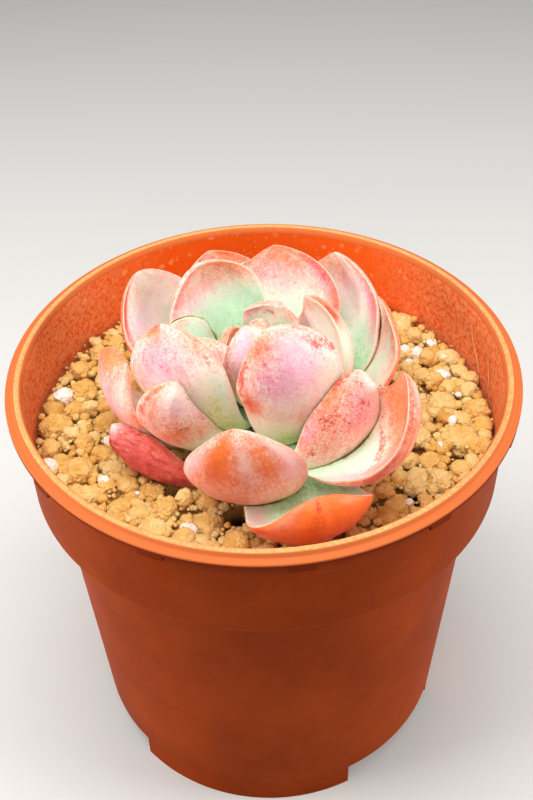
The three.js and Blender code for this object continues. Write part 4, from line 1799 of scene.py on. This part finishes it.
@dataclass(frozen=True)
class Soil:
    """The grit in the pot: a dark bed, large clods where they show, and smaller ones between them.

    A hole is a middle and a reach, where no small lumps lie and the bed sinks. A clod is a middle and a
    radius. A seat is how far a lump's middle lies below its top, as a share of its radius.
    """

    pot: Pot
    stem: Stem
    leaves: bvhtree.BVHTree
    bed: float = 70.9
    surface: float = 73.4
    top: float = 74.3
    clearance: float = 0.25
    sink_step: float = 0.25
    wall_gap: float = 0.3
    hole_depth: float = 3.0
    bed_steps: int = 120
    bed_rings: int = 60
    bed_tone: float = 0.35
    clod_subdivisions: int = 5
    clod_seat: float = 0.82
    clod_tones: tuple[float, float] = (0.3, 0.75)
    large_clod: float = 2.2
    grit_seat: float = 0.85
    grit_tones: tuple[float, float] = (0.15, 0.8)
    seed: int = 7
    holes: tuple[tuple[float, float, float], ...] = (
        (-5, -23.5, 2.4), (-1.5, -24.5, 1.8), (-16.3, -17.5, 1.6), (25, -18.8, 1.6), (27, -9.2, 1.4),
        (34, -10.6, 1.5), (-40, -2.5, 1.8),
    )
    clods: tuple[tuple[float, float, float], ...] = (
        (-39, 0, 3.4), (-34, 9, 2.4), (-35, 15, 2.0), (-32, 20, 2.0), (-29, 23, 2.0), (-35, 4, 2.2),
        (-32, 4, 1.8), (-29, 0, 2.4), (-35, -3, 1.8), (-38, -7, 2.0), (-32, -6, 1.8), (-33, -12, 3.2),
        (-29, -8, 2.2), (-27, -12, 1.8), (-31, -18, 3.3), (-24, -16, 1.9), (-20, -17, 2.0), (-25, -21, 2.7),
        (-28, -25, 2.4), (-21, -23, 2.3), (-17, -22, 2.2), (-14, -20, 1.6), (-10, -25, 3.0), (-19, -27, 2.5),
        (-14, -29, 2.0), (-5, -30, 2.3), (0, -32, 1.8), (-9, -31, 1.7), (28, 27, 3.2), (30, 22, 1.8),
        (32, 15, 2.1), (30, 10, 1.8), (32, 9, 1.6), (37, 11, 1.5), (39, 9, 1.6), (33, 3, 3.2), (38, 6, 1.8),
        (40, 1, 2.3), (29, -1, 1.8), (35, -6, 3.8), (39, -9, 2.3), (28, -6, 2.3), (29, -12, 2.5),
        (25, -12, 1.8), (23, -16, 1.9), (26, -17, 2.6), (30, -17, 2.4), (34, -14, 1.8), (36, -13, 1.6),
        (20, -20, 1.7), (22, -22, 2.0), (27, -22, 1.7), (20, -25, 2.1), (17, -24, 1.5), (14, -29, 1.7),
        (10, -32, 1.5),
    )
    layers: tuple[GritLayer, ...] = (
        GritLayer("soil_lumps", 2600, 1.3, 2.3, 0.4, 0.78, 3),
        GritLayer("soil_pebbles", 5200, 0.7, 1.3, 0.9, 0.7, 2),
        GritLayer("soil_crumbs", 9000, 0.3, 0.7, 1.3, 0.66, 1),
    )

    def clear(self, x: float, y: float, z: float, radius: float) -> float | None:
        """Sink a lump until it lies clear of the leaves.

        Args:
            x: Its middle.
            y: Its middle.
            z: The height of its middle.
            radius: Its radius.

        Returns:
            The height of its middle, or None if it would vanish in the bed.
        """
        while z + radius > self.bed + self.wall_gap:
            near = self.leaves.find_nearest(Vector((x, y, z)) * MM)
            gap = near[3] / MM if near[0] is not None else 99.0
            if gap > radius + self.clearance:
                return z
            z -= self.sink_step
        return None

    def fits(self, x: float, y: float, radius: float) -> bool:
        """Say whether a lump lies inside the wall, off the stem and off the holes.

        Args:
            x: The lump's place along X, in millimetres.
            y: Its place along Y.
            radius: Its radius.

        Returns:
            True if it does.
        """
        inside = math.hypot(x, y) + radius < self.pot.inside_radius(self.surface) - self.wall_gap
        off_stem = math.hypot(x - self.stem.x, y - self.stem.y) > self.stem.collar_radius + radius
        off_holes = all(math.hypot(x - hx, y - hy) >= reach + 0.5 * radius for hx, hy, reach in self.holes)
        return inside and off_stem and off_holes

    def listed(self, draw: random.Random) -> list[Lump]:
        """Seat the large clods that show.

        Args:
            draw: The generator of random numbers.

        Returns:
            The clods.
        """
        wall = self.pot.inside_radius(self.surface) - self.wall_gap
        lumps = []
        for x, y, radius in self.clods:
            pull = min(1.0, (wall - radius * 1.05) / math.hypot(x, y))
            height = self.top + draw.uniform(-0.5, 0.5) - self.clod_seat * radius
            z = self.clear(x * pull, y * pull, height, radius)
            if z is not None:
                lumps.append(Lump(x * pull, y * pull, z, radius, draw.uniform(*self.clod_tones)))
        return lumps

    def scattered(self, draw: random.Random, layer: GritLayer, lumps: list[Lump]) -> list[Lump]:
        """Drop lumps at random wherever they don't crowd the ones that are there.

        Args:
            draw: The random draws.
            layer: The size of grit.
            lumps: The ones that are there.

        Returns:
            The new ones.
        """
        new = []
        wall = self.pot.inside_radius(self.surface)
        top = self.top - layer.drop
        for _ in range(layer.tries):
            radius = blend(layer.least, layer.most, draw.random() ** 1.4)
            turn = draw.uniform(0, math.tau)
            away = wall * math.sqrt(draw.random())
            x, y = away * math.cos(turn), away * math.sin(turn)
            tone = draw.uniform(*self.grit_tones)
            height = top + draw.uniform(-0.6, 0.6) - self.grit_seat * radius
            if not self.fits(x, y, radius):
                continue
            if any(math.hypot(x - o.x, y - o.y) < layer.crowd * (radius + o.radius) for o in lumps + new):
                continue
            z = self.clear(x, y, height, radius)
            if z is not None:
                new.append(Lump(x, y, z, radius, tone))
        return new

    def make_bed(self) -> bmesh.types.BMesh:
        """Spin the fill below the clods and roughen its top.

        Returns:
            The mesh of the fill.
        """
        pot = self.pot
        gap = self.wall_gap
        wall = pot.wall + gap
        outline = [
            (0.0, pot.floor + gap), (pot.body_foot - wall, pot.floor + gap),
            (pot.body_top - wall, pot.shoulder + wall), (pot.band_foot - wall, pot.band_foot_height + wall),
            (pot.band_foot - wall, self.bed), (0.0, self.bed + 0.8),
        ]
        made = spin_outline(outline, self.bed_steps)
        top = [f for f in made.faces if f.calc_center_median().z > (self.bed - 0.1) * MM]
        edges = {e for f in top for e in f.edges}
        radial = [e for e in edges if abs(e.verts[0].co.xy.length - e.verts[1].co.xy.length) > 10 * MM]
        bmesh.ops.subdivide_edges(made, edges=radial, cuts=self.bed_rings, use_grid_fill=True)
        tone = made.verts.layers.float.new("tone")
        buried = made.verts.layers.float.new("buried")
        for vert in made.verts:
            at = vert.co / MM
            if at.z > self.bed - 0.05 and at.xy.length < pot.band_foot - wall - 0.5:
                at.z += 0.7 * noise.noise(at * 0.5) + 0.3 * noise.noise(at * 1.9)
                for x, y, reach in self.holes:
                    at.z -= self.hole_depth * math.exp(-((at.x - x) ** 2 + (at.y - y) ** 2) / reach ** 2)
                vert.co.z = at.z * MM
            vert[tone] = self.bed_tone
            vert[buried] = max(0.0, (self.surface - at.z) / LumpShaper.shade_depth)
        return made

    def build(self) -> None:
        """Make the soil's pieces."""
        material = GritFinish().material()
        draw = random.Random(self.seed)
        clods = self.listed(draw)
        groups = [("soil_clods", clods, self.clod_subdivisions, self.large_clod)]
        placed = list(clods)
        for layer in self.layers:
            new = self.scattered(draw, layer, placed)
            placed += new
            groups.append((layer.name, new, layer.subdivisions, 0.0))
        place_piece("soil_bed", self.make_bed(), material, ["soil"], SHARP_EDGE)
        for number, (name, lumps, subdivisions, fine_from) in enumerate(groups):
            shaper = LumpShaper(self.seed + number, self.surface, subdivisions, fine_from)
            for lump in lumps:
                shaper.add(lump)
            LOG.info("%s: %d lumps", name, len(lumps))
            place_piece(name, shaper.finish(), material, ["soil"])


@dataclass(frozen=True)
class Perlite:
    """The white bits on the soil, each a middle and a radius. The first are nodes of their own."""

    seat: float = 71.5
    swell: float = 1.08
    crumb_top: float = 2.6
    facets: int = 7
    softness: float = 12.0
    seed: int = 100
    crumb_seed: int = 140
    bits: tuple[tuple[float, float, float], ...] = (
        (-37.5, 7, 1.7), (-38, -11.5, 1.5), (-13, -26.5, 1.2), (30, 17, 1.4), (34, 10.5, 1.2), (24, -26, 1.1),
    )
    crumbs: tuple[tuple[float, float, float], ...] = (
        (-28, -15, 1.0), (-28, -5.5, 0.9), (27.5, 18, 1.2), (33, 19.5, 1.0), (34, -2.5, 1.0),
        (24, -22.5, 0.7), (-30, 12, 0.6), (36, 4, 0.6), (-22, -19, 0.5), (31, -9, 0.5), (28, 14, 0.8),
        (35, 15, 0.7),
    )

    def build(self) -> None:
        """Make a piece for each node and one for the crumbs."""
        material = PerliteFinish().material()
        for number, (x, y, radius) in enumerate(self.bits, start=1):
            shaper = LumpShaper(self.seed + number, self.seat, 4)
            lump = Lump(x, y, self.seat + radius, radius * self.swell, 1.0)
            shaper.add(lump, self.facets, self.softness)
            place_piece(f"perlite_bit_{number}", shaper.finish(), material, [f"perlite_{number}"])
        shaper = LumpShaper(self.crumb_seed, self.seat, 3)
        for x, y, radius in self.crumbs:
            lump = Lump(x, y, self.seat + self.crumb_top - radius, radius, 1.0)
            shaper.add(lump, self.facets, self.softness)
        place_piece("perlite_crumbs", shaper.finish(), material)


@dataclass(frozen=True)
class Roots:
    """Fine dry roots that cling to the inside of the wall, each a list of bearing in degrees and height."""

    pot: Pot
    radius: float = 0.14
    paths: tuple[tuple[tuple[float, float], ...], ...] = (
        ((20.0, 80.5), (18.0, 78.0), (15.0, 75.8), (13.5, 74.0)),
        ((9.0, 79.5), (8.0, 77.6), (6.5, 75.6), (6.0, 74.0)),
    )

    def build(self) -> None:
        """Make the fibres' piece."""
        curve = bpy.data.curves.new("root_fibres", "CURVE")
        curve.dimensions = "3D"
        curve.bevel_depth = self.radius * MM
        curve.bevel_resolution = 2
        curve.resolution_u = 6
        curve.use_fill_caps = True
        for path in self.paths:
            spline = curve.splines.new("BEZIER")
            spline.bezier_points.add(len(path) - 1)
            for point, (bearing, height) in zip(spline.bezier_points, path):
                away = self.pot.inside_radius(height) - self.radius
                angle = math.radians(bearing)
                point.co = Vector((away * math.cos(angle), away * math.sin(angle), height)) * MM
                point.handle_left_type = point.handle_right_type = "AUTO"
        holder = bpy.data.objects.new("root_fibres_curve", curve)
        bpy.context.scene.collection.objects.link(holder)
        data = bpy.data.meshes.new_from_object(holder.evaluated_get(bpy.context.evaluated_depsgraph_get()))
        bpy.data.objects.remove(holder)
        place_mesh("root_fibres", data, RootFinish().material())


@dataclass(frozen=True)
class SoftLight:
    """One square soft light: its place and side in millimetres, its power in watts, and its tint."""

    name: str
    at: tuple[float, float, float]
    size: float
    watts: float
    tint: tuple[float, float, float]

    def build(self, target: Vector) -> None:
        """Hang the light so that it points at the target.

        Args:
            target: The target, in metres.
        """
        data = bpy.data.lights.new(self.name, "AREA")
        data.shape = "SQUARE"
        data.size = self.size * MM
        data.energy = self.watts
        data.color = self.tint
        light = bpy.data.objects.new(self.name, data)
        light.location = Vector(self.at) * MM
        light.rotation_euler = (target - light.location).to_track_quat("-Z", "Y").to_euler()
        bpy.context.scene.collection.objects.link(light)


@dataclass(frozen=True)
class Studio:
    """The floor, the soft lights and the camera at the photograph's angle.

    The three turns are radians, and focal_share is the focal length as a share of the picture's height.
    """

    camera_at: tuple[float, float, float] = (0.0, -154.26, 216.85)
    pitch: float = 0.73597
    yaw: float = 0.00291
    roll: float = -0.02497
    focal_share: float = 1.44265
    sensor: float = 36.0
    nearest: float = 10.0
    floor_half: float = 3000.0
    target: tuple[float, float, float] = (0, 0, 70)
    sky: str = "F2F4F7"
    sky_strength: float = 0.13
    lights: tuple[SoftLight, ...] = (
        SoftLight("top", (-40, 0, 480), 320, 2.0, (1.0, 0.99, 0.97)),
        SoftLight("left", (-400, -60, 230), 260, 2.0, (1.0, 0.98, 0.95)),
        SoftLight("right", (400, -40, 230), 260, 1.75, (1.0, 0.98, 0.95)),
        SoftLight("front", (0, -330, 420), 240, 0.5, (1.0, 0.99, 0.97)),
    )

    def build(self) -> None:
        """Make the floor, the world, the lights and the camera."""
        self.build_floor()
        self.build_world()
        for light in self.lights:
            light.build(Vector(self.target) * MM)
        self.build_camera()

    def build_floor(self) -> None:
        """Lay a wide pale floor, which isn't part of the object."""
        made = bmesh.new()
        bmesh.ops.create_grid(made, x_segments=4, y_segments=4, size=self.floor_half * MM)
        data = bpy.data.meshes.new("floor")
        made.to_mesh(data)
        made.free()
        data.materials.append(FloorFinish().material())
        floor = bpy.data.objects.new("floor", data)
        bpy.context.scene.collection.objects.link(floor)

    def build_world(self) -> None:
        """Light the scene evenly from all round."""
        world = bpy.data.worlds.new("studio")
        world.use_nodes = True
        background = world.node_tree.nodes["Background"]
        background.inputs["Color"].default_value = rgb(self.sky)
        background.inputs["Strength"].default_value = self.sky_strength
        bpy.context.scene.world = world
        bpy.context.scene.view_settings.view_transform = "Standard"

    def build_camera(self) -> None:
        """Set the camera where the photograph's was."""
        forward = Vector((
            math.sin(self.yaw) * math.cos(self.pitch), math.cos(self.yaw) * math.cos(self.pitch),
            -math.sin(self.pitch),
        ))
        right = forward.cross(Vector((0, 0, 1))).normalized()
        up = right.cross(forward)
        turn = Matrix.Rotation(-self.roll, 3, forward)
        right, up = turn @ right, turn @ up
        data = bpy.data.cameras.new("camera")
        data.sensor_fit = "VERTICAL"
        data.sensor_height = self.sensor
        data.lens = self.focal_share * self.sensor
        data.clip_start = self.nearest * MM
        camera = bpy.data.objects.new("camera", data)
        rotation = Matrix((right, up, -forward)).transposed().to_4x4()
        camera.matrix_world = Matrix.Translation(Vector(self.camera_at) * MM) @ rotation
        bpy.context.scene.collection.objects.link(camera)
        bpy.context.scene.camera = camera


def main() -> None:
    """Build the potted plant and its studio."""
    logging.basicConfig(level=logging.INFO, format="%(name)s: %(message)s")
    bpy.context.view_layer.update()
    pot = Pot()
    stem = Stem()
    pot.build()
    stem.build()
    leaves = Rosette(stem).build()
    Soil(pot, stem, leaves).build()
    Perlite().build()
    Roots(pot).build()
    Studio().build()


if __name__ == "__main__":
    main()
